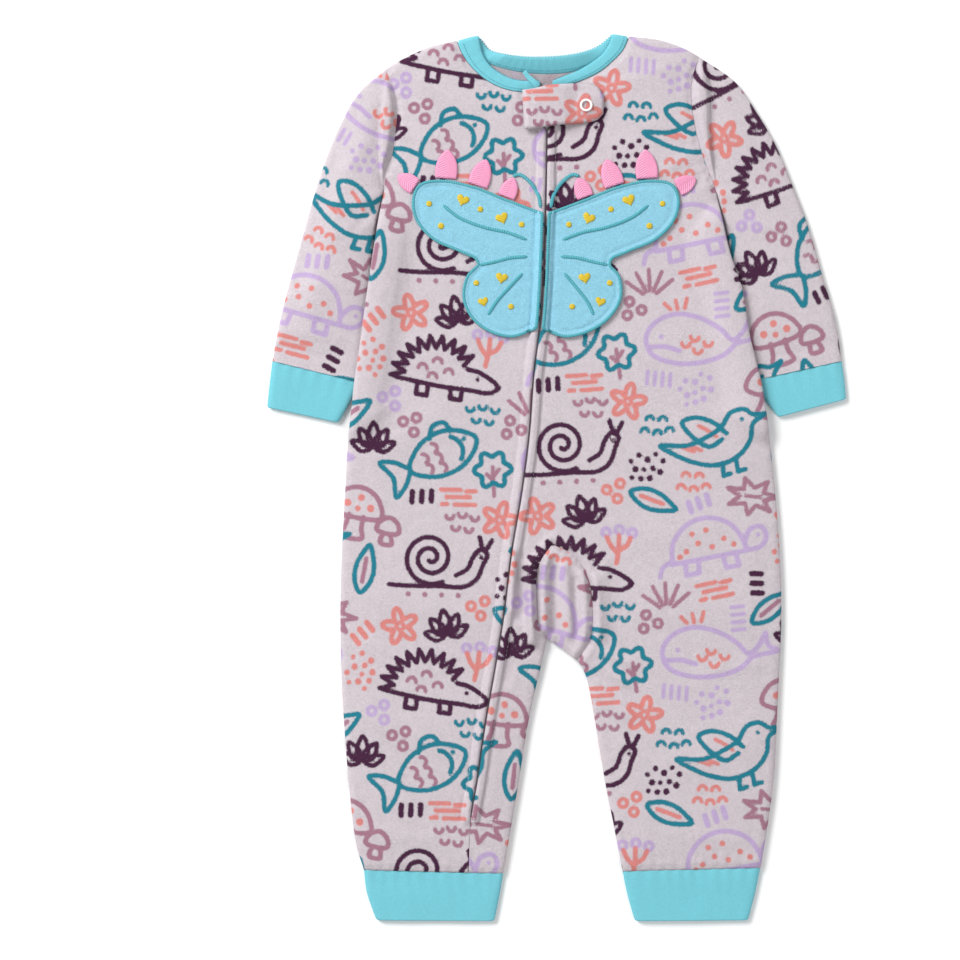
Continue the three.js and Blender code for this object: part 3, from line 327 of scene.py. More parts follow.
class Noise:
    """Smooth seeded unevenness over the plane, from a lattice of random values that repeats."""

    SIZE = 64

    def __init__(self, seed: int) -> None:
        """Draws the lattice from a seed."""
        self.lattice = np.random.default_rng(seed).uniform(-1, 1, (self.SIZE, self.SIZE))

    def at(self, points: Array, pitch: float) -> Array:
        """Reads the unevenness.

        Args:
            points: Flat points in millimetres.
            pitch: Distance between two lattice values.

        Returns:
            A value from about -1 to 1 for each point.
        """
        spot = points[:, :2] / pitch
        cell = np.floor(spot).astype(int)
        u, v = smooth(spot - cell).T
        i, j = (cell % self.SIZE).T
        k, m = (i + 1) % self.SIZE, (j + 1) % self.SIZE
        grid = self.lattice
        low = grid[i, j] * (1 - u) + grid[k, j] * u
        high = grid[i, m] * (1 - u) + grid[k, m] * u
        return low * (1 - v) + high * v


@dataclass(frozen=True)
class Folds:
    """Soft ridges or, where the rise is negative, hollows.

    Each row has x and y of a fold's first end, x and y of its other end, its half width and rise.
    """

    rows: Points

    def height(self, points: Array) -> Array:
        """Adds up the folds.

        Args:
            points: Flat points.

        Returns:
            The rise at each point.
        """
        total = np.zeros(len(points))
        for x0, y0, x1, y1, half, rise in self.rows:
            away = to_line(points, np.array([(x0, y0), (x1, y1)], float), 4 * half)[0]
            total += rise * bell(away / half)
        return total


MAIN_FOLDS = Folds([
    (-19.5, -62, -18, -118, 3.6, 4.8), (-32, -52, -33, -96, 3.6, 2.6), (-8.5, -56, -9, -110, 4, 3.6),
    (6, -64, 9, -112, 4, 3), (19, -70, 20, -114, 3.6, 2.6), (29, -74, 31, -114, 4.5, 2.6),
    (24, -134, 48, -147, 5, 1.1), (-116, 204, -108, 193, 9, 0.9), (106, 205, 98, 194, 9, 0.9),
    (-132, 22, -84, 40, 15, 1), (140, 12, 96, 34, 15, 1), (-118, -84, -62, -104, 15, 1.2),
    (132, -96, 72, -92, 15, 1.2), (-140, -176, -86, -190, 14, 1), (142, -190, 88, -206, 14, 1),
])
# Finer creases that only show in the cloth's surface
FRONT_CREASES = Folds([
    (-113, 226, -92, 214, 4, 0.8), (-119, 212, -98, 196, 3.4, -0.6), (-112, 246, -88, 243, 5, 0.6),
    (96, 232, 74, 220, 4, 0.8), (104, 216, 84, 202, 3.4, -0.6), (95, 256, 70, 254, 5, 0.6),
    (-60, 268, -96, 284, 7, 0.7), (44, 282, 82, 296, 7, 0.7), (-146, 40, -118, 52, 5, 0.7),
    (-147, 28, -112, 36, 4, -0.5), (150, 34, 120, 46, 5, 0.7), (152, 20, 116, 28, 4, -0.5),
    (-26, -58, -25.5, -97, 2.8, -3.2), (-1.5, -66, -2.5, -110, 2.2, -2.6), (13, -74, 14.5, -112, 2.6, -1.8),
    (34, -62, 36, -106, 4, 1.2), (-19, -60, -18.5, -116, 3.4, 1), (30, -126, 56, -134, 4, 1.2),
    (30, -142, 62, -160, 5, -1.0), (27, -156, 50, -172, 5, 1.1), (-28, -118, -36, -146, 4, -1.0),
    (-70, -60, -112, -52, 9, 0.6), (60, -46, 108, -38, 10, 0.6), (-136, -120, -96, -134, 6, 0.6),
    (148, -134, 108, -140, 6, 0.6), (-128, -256, -92, -262, 6, 0.5), (128, -262, 84, -256, 6, 0.5),
    (-70, 96, -112, 84, 10, 0.5), (56, 92, 100, 74, 10, 0.5),
])
BACK_CREASES = Folds([
    (-4, -60, -60, -20, 8, 0.7), (2, -66, 64, -28, 8, 0.7), (-90, 190, -60, 120, 9, 0.7),
    (84, 188, 58, 116, 9, 0.7), (-60, 20, 40, 34, 12, 0.6), (-110, -140, -50, -160, 10, 0.6),
    (116, -150, 60, -168, 10, 0.6), (-100, 60, -40, 76, 11, 0.5), (96, 52, 44, 70, 11, 0.5),
])


class Form:
    """The garment's outline and the heights of its layers."""

    DIP, DIP_RUN = 1.3, 5.0
    LOFT, LOFT_RUN = 1.4, 26.0
    TUCK_LIFT, TUCK_WIDTH, TUCK_FADE = 5.6, 8.5, 24.0
    TUCK_TOP, TUCK_BOTTOM, TUCK_AIR = 174.0, 50.0, 1.5
    ZIP_HALF_GAP, ZIP_OPEN, ZIP_OPEN_FROM, ZIP_OPEN_RUN = 0.55, 3.5, 249.0, 6.0
    ZIP_CLOSE_RUN = 6.0
    WELT_WIDTH, WELT_FALL, WELT_RISE, WELT_ROLL = 4.8, 2.2, 2.0, 2.3
    GROOVE, GROOVE_AT, GROOVE_HALF = 0.7, 1.4, 1.3
    TAPE_ROOM, TAPE_HALF, TAPE_FADE = 1.0, 11.0, 8.0
    CHAIN_ROOM, CHAIN_HALF, CHAIN_FADE = 1.2, 2.0, 3.0
    GUSSET_DIP, GUSSET_RUN = 1.5, 2.6
    GUSSET_SWELL, GUSSET_SWELL_AT, GUSSET_SWELL_HALF = 1.3, 4.6, 2.4
    GUSSET_LEFT: Points = [[-12.5, -108.5], [-14.5, -88], [-14.5, -72.5], [-11.5, -60]]
    GUSSET_RIGHT: Points = [[24, -116], [26, -94], [22.5, -72], [12.5, -56.5]]
    SEAM_CLOSED, SOFTNESS, REACH = 0.1, 0.3, 45.0
    ROLLED = ("side_left", "side_right", "shoulder_left", "shoulder_right", "inseam_left", "inseam_right")
    SEWN = ("armhole_left", "armhole_right", "neck_front_left", "neck_front_right")

    def __init__(self) -> None:
        """Draws every edge of the garment."""
        outline = dict(OUTLINE)
        self.zip = Curve(outline["zip"])
        for side, name in ((-1, "neck_front_left"), (1, "neck_front_right")):
            outline[name] = [list(self.zip_edge(side, np.array([ZIP_TOP]))[0]), *outline[name]]
        self.edges = {name: Curve(points) for name, points in outline.items()}
        self.crotch = np.array(OUTLINE["inseam_left"][-1], float)
        side = np.array([self.edges["side_right"].x_at(GUSSET_TOP_Y), GUSSET_TOP_Y])
        start = self.zip_edge(1, np.array([GUSSET_TOP_Y]))[0]
        top = start + (side - start) * GUSSET_SHARE
        fork = np.array([self.edges["inseam_right"].x_at(GUSSET_FORK_Y), GUSSET_FORK_Y])
        self.gusset_left = Curve([self.crotch, *self.GUSSET_LEFT, top])
        self.gusset_right = Curve([fork, *self.GUSSET_RIGHT, top])
        self.rolled = [self.edges[name].chain for name in self.ROLLED]
        foot = {name: self.edges[name].at(0.0) for name in self.ROLLED}
        self.leg_seams = [np.array([foot[a], foot[b]]) for a, b in (("side_left", "inseam_left"),
                                                                   ("inseam_right", "side_right"))]
        self.seams = [*(self.edges[name].chain for name in self.SEWN), *self.leg_seams]
        self.gusset_seams = [self.gusset_left.chain, self.gusset_right.chain]
        sides = [self.edges[name].chain for name in ("side_left", "side_right")]
        self.tucks = [chain[(chain[:, 1] >= self.TUCK_BOTTOM) & (chain[:, 1] <= self.TUCK_TOP)] for chain in sides]

    def zip_half_gap(self, y: Array) -> Array:
        """Measures the zip's opening.

        Args:
            y: Heights.

        Returns:
            Half the distance between the zip's two cloth edges at each height.
        """
        closed = smooth((ZIP_BOTTOM - y) / self.ZIP_CLOSE_RUN + 1)
        opened = self.ZIP_OPEN * smooth((y - self.ZIP_OPEN_FROM) / self.ZIP_OPEN_RUN)
        return (self.ZIP_HALF_GAP + opened) * (1 - closed) + self.SEAM_CLOSED * closed

    def zip_edge(self, side: int, y: Array) -> Array:
        """Gives points of the cloth edge on one side of the zip at heights y."""
        return np.column_stack([self.zip.x_at(y) + side * self.zip_half_gap(y), y])

    def zip_climb(self, side: int, low: float, high: float, count: int) -> Array:
        """Gives count + 1 points of a zip edge from height low to height high."""
        return self.zip_edge(side, np.linspace(low, high, count + 1))


class Lie:
    """How the layers lie at a set of flat points: their heights and what those depend on."""

    def __init__(self, form: Form, points: Array) -> None:
        """Measures the points against every edge once.

        Args:
            form: The garment's form.
            points: Flat points in millimetres.
        """
        self.form, self.points = form, points
        groups = (form.rolled, form.seams, form.gusset_seams, form.tucks)
        self.rolled, self.seam, self.gusset_seam, away = (nearest(points, lines, form.REACH) for lines in groups)
        self.lift = form.TUCK_LIFT * (1 - smooth((away - form.TUCK_WIDTH) / form.TUCK_FADE))
        self.from_zip = np.abs(points[:, 0] - form.zip.x_at(points[:, 1]))
        self.zip_length = smooth((points[:, 1] - ZIP_BOTTOM) / form.ZIP_CLOSE_RUN + 1)
        self.beside = self.from_zip - form.zip_half_gap(points[:, 1])

    def air(self) -> Array:
        """Measures the air under the front.

        Returns:
            Its height at each point: over the sleeves' strips, in the folds and over the zip.
        """
        form = self.form
        share = self.lift / form.TUCK_LIFT
        tuck = 4 * form.TUCK_AIR * share * (1 - share)
        free = form.LOFT * smooth(np.minimum(self.rolled, self.seam) / form.LOFT_RUN)
        folds = MAIN_FOLDS.height(self.points) * smooth(self.rolled / ROLL_RUN)
        tape = form.TAPE_ROOM * (1 - smooth((self.from_zip - form.TAPE_HALF) / form.TAPE_FADE))
        coil = form.CHAIN_ROOM * (1 - smooth((self.from_zip - form.CHAIN_HALF) / form.CHAIN_FADE))
        a, b = np.maximum(free, tuck) + folds, (tape + coil) * self.zip_length
        return (a + b + np.sqrt((a - b) ** 2 + form.SOFTNESS**2) - form.SOFTNESS) / 2

    def welt(self) -> Array:
        """Measures the cloth that is folded back beside the zip.

        Returns:
            Its rise at each point, with the groove of its sewing.
        """
        form = self.form
        ridge = form.WELT_RISE * (1 - smooth((self.beside - form.WELT_WIDTH) / form.WELT_FALL))
        edge = form.WELT_ROLL * (1 - np.sqrt(np.clip(self.beside / form.WELT_ROLL, 0, 1)))
        groove = form.GROOVE * bell((self.beside - form.WELT_WIDTH - form.GROOVE_AT) / form.GROOVE_HALF)
        return (ridge - edge - groove) * self.zip_length

    def gap(self) -> Array:
        """Gives half the space between front and back, which meet at the rolled edges."""
        return 0.01 + HALF_GAP * smooth(self.rolled / 2.5)

    def front_inside(self) -> Array:
        """Gives the height of the front's inner side."""
        return SEAM_Z + self.gap() + self.lift + self.air()

    def front_top(self) -> Array:
        """Measures the front's outer side, without its fine unevenness.

        Returns:
            Its height at each point.
        """
        form = self.form
        dip = form.DIP * (1 - smooth(self.seam / form.DIP_RUN))
        dip = dip + form.GUSSET_DIP * (1 - smooth(self.gusset_seam / form.GUSSET_RUN))
        swell = form.GUSSET_SWELL * bell((self.gusset_seam - form.GUSSET_SWELL_AT) / form.GUSSET_SWELL_HALF)
        return SEAM_Z * (1 + rounded(self.rolled)) + self.lift + self.air() - dip + swell + self.welt()

    def back_inside(self) -> Array:
        """Gives the height of the back's inner side."""
        return SEAM_Z - self.gap() + self.lift

    def back_bottom(self) -> Array:
        """Gives the height of the back's outer side, which rests on the surface."""
        return self.lift + SEAM_Z * (1 - rounded(self.rolled))


class Nap:
    """The soft unevenness of napped cloth, and the puckers that seams draw in it."""

    SEED = 7
    # For each seam, the puckers' pitch, rise and reach
    PUCKERS = {
        "armhole_left": (7.5, 0.34, 7.0), "armhole_right": (7.5, 0.34, 7.0),
        "neck_front_left": (6.0, 0.26, 5.0), "neck_front_right": (6.0, 0.26, 5.0),
        "inseam_left": (9.0, 0.22, 6.0), "inseam_right": (9.0, 0.22, 6.0),
        "side_left": (13.0, 0.2, 7.0), "side_right": (13.0, 0.2, 7.0),
    }
    LEG_PUCKER = (8.0, 0.34, 8.0)
    GUSSET_PUCKER = (5.5, 0.42, 5.0)
    ZIP_PUCKER = (11.0, 0.16, 14.0)

    def __init__(self, form: Form) -> None:
        """Takes the seams from the form.

        Args:
            form: The garment's form.
        """
        self.noise = Noise(self.SEED)
        self.lines = [(form.edges[name].chain, *facts) for name, facts in self.PUCKERS.items()]
        self.lines += [(line, *self.LEG_PUCKER) for line in form.leg_seams]
        self.lines += [(line, *self.GUSSET_PUCKER) for line in form.gusset_seams]

    def clumps(self, points: Array) -> Array:
        """Gives the height of the pile's clumps at points."""
        return 0.05 * self.noise.at(points, 2.3) + 0.05 * self.noise.at(points[:, ::-1] + 31, 4.7)

    def waves(self, points: Array) -> Array:
        """Gives the height of the cloth's broad waves at points."""
        return 0.16 * self.noise.at(points + 57, 17) + 0.3 * self.noise.at(points + 11, 43)

    def pile(self, points: Array) -> Array:
        """Gives all the unevenness of plain cloth at points."""
        return self.clumps(points) + self.waves(points)

    def puckers(self, points: Array) -> Array:
        """Adds up the ripples that stand across the seams.

        Args:
            points: Flat points.

        Returns:
            Their rise at each point.
        """
        total = np.zeros(len(points))
        for line, pitch, rise, reach in self.lines:
            away, along = to_line(points, line, 5 * reach)
            phase = 2 * math.pi * along / pitch + 1.6 * self.noise.at(points, 23)
            total += rise * np.sin(phase) * np.exp(-away / reach) * smooth(away / 1.2)
        return total

    def front(self, lie: Lie) -> Array:
        """Gives all the fine unevenness of the front's outer side."""
        return self.clumps(lie.points) * smooth(lie.rolled / 3) + self.broad(lie)

    def broad(self, lie: Lie) -> Array:
        """Adds up the front's unevenness without the pile's clumps.

        Args:
            lie: How the front lies.

        Returns:
            Its rise at each point.
        """
        pitch, rise, reach = self.ZIP_PUCKER
        wave = np.sin(2 * math.pi * lie.points[:, 1] / pitch + 2 * self.noise.at(lie.points, 37))
        zip_wave = rise * wave * np.exp(-np.abs(lie.beside) / reach) * smooth(lie.beside / 6)
        total = self.waves(lie.points) + self.puckers(lie.points) + FRONT_CREASES.height(lie.points)
        return (total + zip_wave) * smooth(lie.rolled / 3)


@dataclass
class Stroke:
    """A line of ink in millimetres; a single point is a dot."""

    ink: int
    line: Array
    half: float = 1.6

    def moved(self, spot: Sequence[float], angle: float = 0.0, size: float = 1.0) -> Stroke:
        """Gives the stroke turned by angle degrees, sized and moved to a spot."""
        return Stroke(self.ink, self.line @ (turn(angle) * size) + np.array(spot), self.half)


def straight(ink: int, *numbers: float, half: float = 1.6) -> Stroke:
    """Draws straight strokes from point to point, given as x, y, x, y and so on."""
    return Stroke(ink, np.array(numbers, float).reshape(-1, 2), half)


def curve(ink: int, *numbers: float, closed: bool = False, half: float = 1.6) -> Stroke:
    """Draws a smooth stroke through points, given as x, y, x, y and so on."""
    return Stroke(ink, spline(np.reshape(numbers, (-1, 2)), closed, 6), half)


def dot(ink: int, x: float, y: float, radius: float) -> Stroke:
    """Draws a dot."""
    return straight(ink, x, y, half=radius)


def arc(
    ink: int, x: float, y: float, radius: float, start: float = 0, end: float = 360, half: float = 1.25,
) -> Stroke:
    """Draws part of a circle, from one angle in degrees to another."""
    a = np.radians(np.linspace(start, end, 11))
    return Stroke(ink, np.column_stack([x + radius * np.cos(a), y + radius * np.sin(a)]), half)


def lobed(ink: int, radius: float, swing: float, lobes: int, phase: float = 0.0, y: float = 0.0) -> Stroke:
    """Draws a closed stroke with round lobes.

    Args:
        ink: The ink's slot.
        radius: The stroke's mean radius.
        swing: How far the lobes go out from it and in.
        lobes: How many lobes there are.
        phase: The angle, in radians, by which they are turned back.
        y: The height of its middle.

    Returns:
        The stroke.
    """
    a = np.linspace(0, 2 * math.pi, 51)
    r = radius + swing * np.cos(lobes * a + phase)
    return Stroke(ink, np.column_stack([r * np.cos(a), y + r * np.sin(a)]))


def spiky() -> Array:
    """Draws the outline of a burst.

    Returns:
        Its points, out and in by turns.
    """
    t = np.radians(np.arange(15) * 360 / 14 + 8)
    r = np.where(np.arange(15) % 2 == 0, 17.0, 8.0)
    return np.column_stack([1.15 * r * np.cos(t), 0.8 * r * np.sin(t)])


def spiral() -> Array:
    """Draws the spiral of a shell.

    Returns:
        Its points, from the middle out.
    """
    t = np.linspace(0, 4.3 * math.pi, 60)
    r = 2.2 + 1.28 * t
    return np.column_stack([-5 + r * np.cos(t - 2), 5 + r * np.sin(t - 2)])


def spines() -> Array:
    """Draws a back of spines.

    Returns:
        Its points, out and in by turns.
    """
    spots = [(-26.0, -8.0)]
    for k in range(10):
        t, u = math.radians(184 - k * 16), math.radians(176 - k * 16)
        spots.append((-3 + 29 * math.cos(t), -5 + 27 * math.sin(t)))
        spots.append((-3 + 20 * math.cos(u), -5 + 19 * math.sin(u)))
    return np.array(spots)


# Slots for a drawing's main ink and its second ink
A, B = 0, 1
DRAWINGS: dict[str, list[Stroke]] = {
    "flower": [lobed(A, 9.2, 3.9, 5, 0.6), arc(B, 0, 0, 2.7)],
    "leaf": [
        curve(A, -17, 0, -8, 5.8, 3, 6.4, 12, 3.4, 18, 0, 10, -4.2, 0, -6.6, -9, -5.4, closed=True),
        straight(B, -9, 0, 8, 0.4, half=1.5),
    ],
    "fan": [
        curve(A, 3, 0, 0.45 * size, 0.2 * size, size, 0, 0.45 * size, -0.2 * size, 3, 0, half=1.45)
        .moved((0, -8), angle) for angle, size in ((90, 21), (58, 19), (122, 19), (24, 17), (156, 17))
    ],
    "arches": [arc(A, x, y, 2.8, 180, 360) for x, y in ((-9, 5), (0, 6.5), (9, 4.5), (-4.5, -3), (5, -4))],
    "specks": [
        dot(A, x, y, 1.75 + 0.25 * (i % 3)) for i, (x, y) in enumerate((
            (-11, 5), (-5, 9), (1, 5.5), (7, 9), (12, 4), (-8, -1), (-2, -1.5), (4.5, -1), (9.5, -4),
            (-11, -7), (-4.5, -8), (2, -8)))
    ],
    "rings": [arc(A, x, y, 3.1) for x, y in ((-6, 2.5), (3.5, 5.5), (2, -5))],
    "dashes": [straight(A, x, -3.6, x + 0.6, 3.6, half=1.9) for x in (-7, 0, 7)],
    "ladder": [straight(A, -4.5, y, 4.5, y + 0.5, half=1.3) for y in (-8.5, -3, 2.5, 8)],
    "scribble": [
        straight(A, x, y, end, y + 0.3, half=1.45)
        for x, end, y in ((-13, 1, 5.4), (5, 12, 4.7), (-9, 8, 0.2), (-3, 12, -5.2), (-12, -8, -5.1))
    ],
    "sprig": [
        curve(A, 0, -16, 0.6, -6, 0, 4), curve(A, 0.4, -9, -5, -4, -8.5, 2), curve(A, 0.6, -7, 6, -3, 8.5, 3),
        arc(B, -9.5, 5.6, 3), arc(B, 9.5, 6.6, 3), arc(B, 0, 8, 3),
    ],
    "tuft": [straight(A, 6, 0, 21, 0, half=1.35).moved((0, -11), angle) for angle in (38, 64, 90, 116, 142)],
    "bush": [
        lobed(A, 11.5, 2.1, 6, y=3), straight(B, 0, -16, 0, 5, half=1.3),
        straight(B, 0, -2, 4.5, 3, half=1.3), straight(B, 0, -5, -4.5, 0, half=1.3),
    ],
    "burst": [Stroke(A, spiky(), 1.4), straight(B, -5, 0, 6, 0, half=1.2)],
    "turtle": [
        curve(A, -26, -7, -23, 7, -11, 18, 4, 20, 18, 13, 25, 0, 26, -7), straight(A, -26, -7, 26, -7),
        curve(A, 25, -2, 31, 7, 39, 7, 41, 0, 36, -6, 27, -7), straight(A, -17, -7, -18, -16, -9, -16, -8, -7),
        straight(A, 9, -7, 10, -16, 19, -16, 18, -7), curve(A, -26, -5, -33, -8, -36, -14), dot(A, 35.5, 2, 1.5),
        *(dot(B, x, y, 2) for x, y in (
            (-15, 0), (-6, 4), (3, 0), (12, 4), (-9, 11), (1, 12), (18, -1), (-20, -3))),
    ],
    "snail": [
        Stroke(A, spiral()), straight(A, 32, 13, 30, 21), straight(A, 35, 12, 39, 19), dot(A, 31.5, 6.5, 1.4),
        curve(A, -34, -15, -20, -15.5, 2, -15, 20, -15, 29, -9, 33, 1, 36, 9, 31, 12, 26, 7, 22, -2, 14, -7),
        *(dot(B, x, -21.5, 1.8) for x in (-20, -8, 4, 16)),
    ],
    "fish": [
        curve(A, -22, 0, -8, 13, 10, 15, 24, 8, 30, 0, 24, -8, 10, -14, -8, -12, closed=True),
        curve(A, -22, 1, -30, 10, -39, 14, -35, 0, -39, -13, -30, -9, -22, -1), arc(A, 8, 0, 10.5, -55, 55, 1.6),
        dot(A, 22, 3.5, 1.6), curve(A, 0, 14, 6, 21, 14, 20, 16, 14),
        *(arc(B, x, y, 3.4, -80, 80) for x, y in ((-10, 3), (-10, -5), (-1, 7), (-1, -1), (-1, -8.5))),
    ],
    "whale": [
        curve(A, 38, 20, 33, 9, 27, 4, 18, 11, 2, 18, -16, 19, -30, 11, -35, 0, -30, -11, -14, -16, 6, -14,
              22, -7, 30, 2), curve(A, 38, 20, 41, 11, 48, 8, 39, 5, 30, 2), dot(A, -24, 2, 1.7),
        curve(A, -31, -6, -20, -5, -10, -7), straight(B, -14, 23, -16, 29, half=1.35),
        straight(B, -9, 24, -8, 31, half=1.35), straight(B, -19, 22, -24, 26, half=1.35),
        *(arc(B, x, y, 3, 180, 360) for x, y in ((0, 4), (10, 1), (3, -5), (-6, -1))),
    ],
    "bird": [
        curve(A, 36, 8, 28, 10, 23, 15, 14, 15, 6, 8, -8, 4, -20, 3, -36, 8, -28, -1, -18, -9, -4, -15, 12, -13,
              22, -5, 26, 4, 36, 8), curve(A, 4, 0, -6, -2, -18, 18, -9, 19, 2, 12, 8, 3),
        curve(B, -8, 13, -3, 8, 1, 3, half=1.3), dot(A, 20, 9, 1.5), straight(A, 0, -15, -2, -23, 3, -23),
        straight(A, 9, -14, 8, -23, 13, -23), straight(B, -23, 3, -16, -2, half=1.3),
        straight(B, -17, 2, -11, -3, half=1.3),
    ],
    "mushrooms": [
        curve(A, -21, -1, -17, 13, -4, 20, 9, 17, 17, 8, 19, -1, 0, -4.5, closed=True),
        curve(A, -7, -3, -8, -12, -10, -20, 7, -20, 5, -12, 5, -3),
        dot(B, -10, 6, 2.6), dot(B, 0, 12, 2.4), dot(B, 9, 5, 2.6), dot(B, -1, 3, 2),
        curve(A, 17, -10, 19, -3, 26, 1, 33, -3, 35, -10, 26, -12, closed=True),
        curve(A, 23, -12, 22, -20, 31, -20, 29, -12),
    ],
    "hedgehog": [
        Stroke(A, spines()), curve(A, 17, 3, 25, 2, 38, -6, 33, -10, 20, -10, 0, -10, -26, -8),
        dot(A, 24, -2.5, 1.5), dot(A, 38, -6, 2.1), straight(A, -14, -10, -14, -17, -7, -17, -7, -10),
        straight(A, 8, -10, 8, -17, 15, -17, 15, -10),
        *(arc(B, x, y, 2.8, 0, 180) for x, y in ((-12, 0), (-3, 5), (5, -1), (-5, -5))),
    ],
}


class Print:
    """The doodle print: one repeat, and how far cloth points lie inside each ink."""

    TILE = np.array([206.0, 226.0])
    STEP = 3.0
    GAP = 3.2
    REACH = 45.0
    OUTSIDE = -3.0
    # How many of a small drawing's points are tried against the room that is left
    TRIED = 26
    # Drawing, its two inks, and its place, angle and size in the repeat
    LARGE: list[tuple[str, Ink, Ink, float, float, float, float]] = [
        ("turtle", L, C, 50, 190, 8, 1.05), ("hedgehog", P, M, 158, 178, -6, 1.12),
        ("fish", T, M, 158, 116, 28, 1.02), ("whale", L, C, 48, 112, -8, 1.0), ("bird", T, C, 60, 40, 14, 1.1),
        ("snail", P, M, 160, 38, 0, 1.0), ("mushrooms", M, C, 102, 74, -10, 0.9),
    ]
    # Smaller drawings, each with its inks and angle, which fill what room is left
    SMALL: list[tuple[str, Ink, Ink, float]] = [
        ("fan", P, P, 0), ("flower", C, C, 10), ("leaf", T, M, 35), ("burst", M, M, -10), ("bush", T, M, 5),
        ("sprig", C, L, -8), ("fan", P, P, 12), ("flower", C, C, 40), ("specks", P, P, 0), ("tuft", M, M, 0),
        ("specks", C, C, 70), ("leaf", T, C, -25), ("arches", T, T, 0), ("scribble", C, C, 0), ("rings", M, M, 0),
        ("arches", C, C, 180), ("dashes", P, P, 4), ("leaf", T, M, 80), ("ladder", L, L, 0), ("rings", M, M, 60),
        ("specks", L, L, 20), ("dashes", P, P, 90), ("scribble", C, C, 8), ("arches", M, M, 0), ("tuft", C, C, 170),
        ("ladder", L, L, 80), ("rings", C, C, 120), ("arches", T, T, 180), ("dashes", C, C, 45),
        ("rings", L, L, 10), ("arches", P, P, 0), ("dashes", L, L, 20),
    ]

    def __init__(self) -> None:
        """Lays out the repeat."""
        self.counts = np.ceil(self.TILE / self.STEP).astype(int)
        places = [np.arange(count) * self.STEP for count in self.counts]
        self.grid = np.stack(np.meshgrid(*places, indexing="ij"), axis=-1).reshape(-1, 2)
        self.room = np.full(len(self.grid), 1e6)
        self.strokes: list[Stroke] = []
        for name, a, b, x, y, angle, size in self.LARGE:
            self.settle(self.drawn(name, (a, b), (x, y), angle, size))
        for name, a, b, angle in self.SMALL:
            self.squeeze_in(self.drawn(name, (a, b), (0, 0), angle))
        self.wrapped = [piece for stroke in self.strokes for piece in self.in_tile(stroke)]

    def drawn(
        self, name: str, inks: tuple[Ink, Ink], spot: Sequence[float], angle: float, size: float = 1.0,
    ) -> list[Stroke]:
        """Makes a drawing.

        Args:
            name: Its name.
            inks: Its two inks.
            spot: Where its middle is.
            angle: How far it is turned, in degrees.
            size: How large it is.

        Returns:
            Its strokes.
        """
        strokes = [stroke.moved(spot, angle, size) for stroke in DRAWINGS[name]]
        return [Stroke(inks[stroke.ink], stroke.line, stroke.half) for stroke in strokes]

    def copies(self, line: Array) -> list[Array]:
        """Gives a line in the repeat and in the eight repeats round it."""
        return [line + self.TILE * (i, j) for i in (-1, 0, 1) for j in (-1, 0, 1)]

    def in_tile(self, stroke: Stroke) -> list[Stroke]:
        """Finds the copies of a stroke that reach into the repeat.

        Args:
            stroke: The stroke.

        Returns:
            The copies.
        """
        reach = stroke.half - self.OUTSIDE
        lines = [line for line in self.copies(stroke.line)
                 if np.all((line.max(0) > -reach) & (line.min(0) < self.TILE + reach))]
        return [Stroke(stroke.ink, line, stroke.half) for line in lines]

    def settle(self, strokes: list[Stroke]) -> None:
        """Keeps strokes and takes their room.

        Args:
            strokes: The strokes, in their place.
        """
        for stroke in strokes:
            for line in self.copies(stroke.line):
                away = to_line(self.grid, line, self.REACH)[0] - stroke.half
                self.room = np.minimum(self.room, away)
        self.strokes.extend(strokes)

    def squeeze_in(self, strokes: list[Stroke]) -> None:
        """Settles a small drawing in the tightest place that still has room for it.

        Args:
            strokes: Its strokes, about its middle.
        """
        line = np.vstack([stroke.line for stroke in strokes])
        half = max(stroke.half for stroke in strokes)
        left = np.full(len(self.grid), 1e6)
        for spot in line[::max(1, len(line) // self.TRIED)]:
            i, j = (np.round((self.grid + spot) / self.STEP).astype(int) % self.counts).T
            left = np.minimum(left, self.room[i * self.counts[1] + j] - half)
        if left.max() >= self.GAP:
            place = self.grid[np.argmin(np.where(left >= self.GAP, left, 1e6))]
            self.settle([stroke.moved(place) for stroke in strokes])

    def depths(self, points: Array, start: Sequence[float], angle: float) -> Array:
        """Measures how deep in each ink the points of a piece lie.

        Args:
            points: Flat points in millimetres.
            start: Where on the repeat the piece was cut.
            angle: The angle in degrees at which it was cut.

        Returns:
            One column of distances for each ink, positive inside it.
        """
        spots = np.mod(points[:, :2] @ turn(angle) + np.array(start), self.TILE)
        depth = np.full((len(points), len(Ink)), self.OUTSIDE)
        for stroke in self.wrapped:
            away = to_line(spots, stroke.line, stroke.half - self.OUTSIDE)[0]
            depth[:, stroke.ink] = np.maximum(depth[:, stroke.ink], stroke.half - away)
        return depth


@dataclass
class Mesh:
    """A mesh on its way to Blender, in millimetres: points, faces, and values at the points."""

    points: Array
    faces: list[Ids]
    values: dict[str, Array] = field(default_factory=dict)

    def triangles(self) -> int:
        """Counts the triangles."""
        return sum((part.shape[1] - 2) * len(part) for part in self.faces)


def gathered(meshes: Sequence[Mesh]) -> Mesh:
    """Puts meshes together as one.

    Args:
        meshes: The meshes, all with the same values.

    Returns:
        The one mesh.
    """
    faces, start = [], 0
    for mesh in meshes:
        faces += [part + start for part in mesh.faces]
        start += len(mesh.points)
    names = meshes[0].values
    values = {name: np.concatenate([mesh.values[name] for mesh in meshes]) for name in names}
    return Mesh(np.vstack([mesh.points for mesh in meshes]), faces, values)


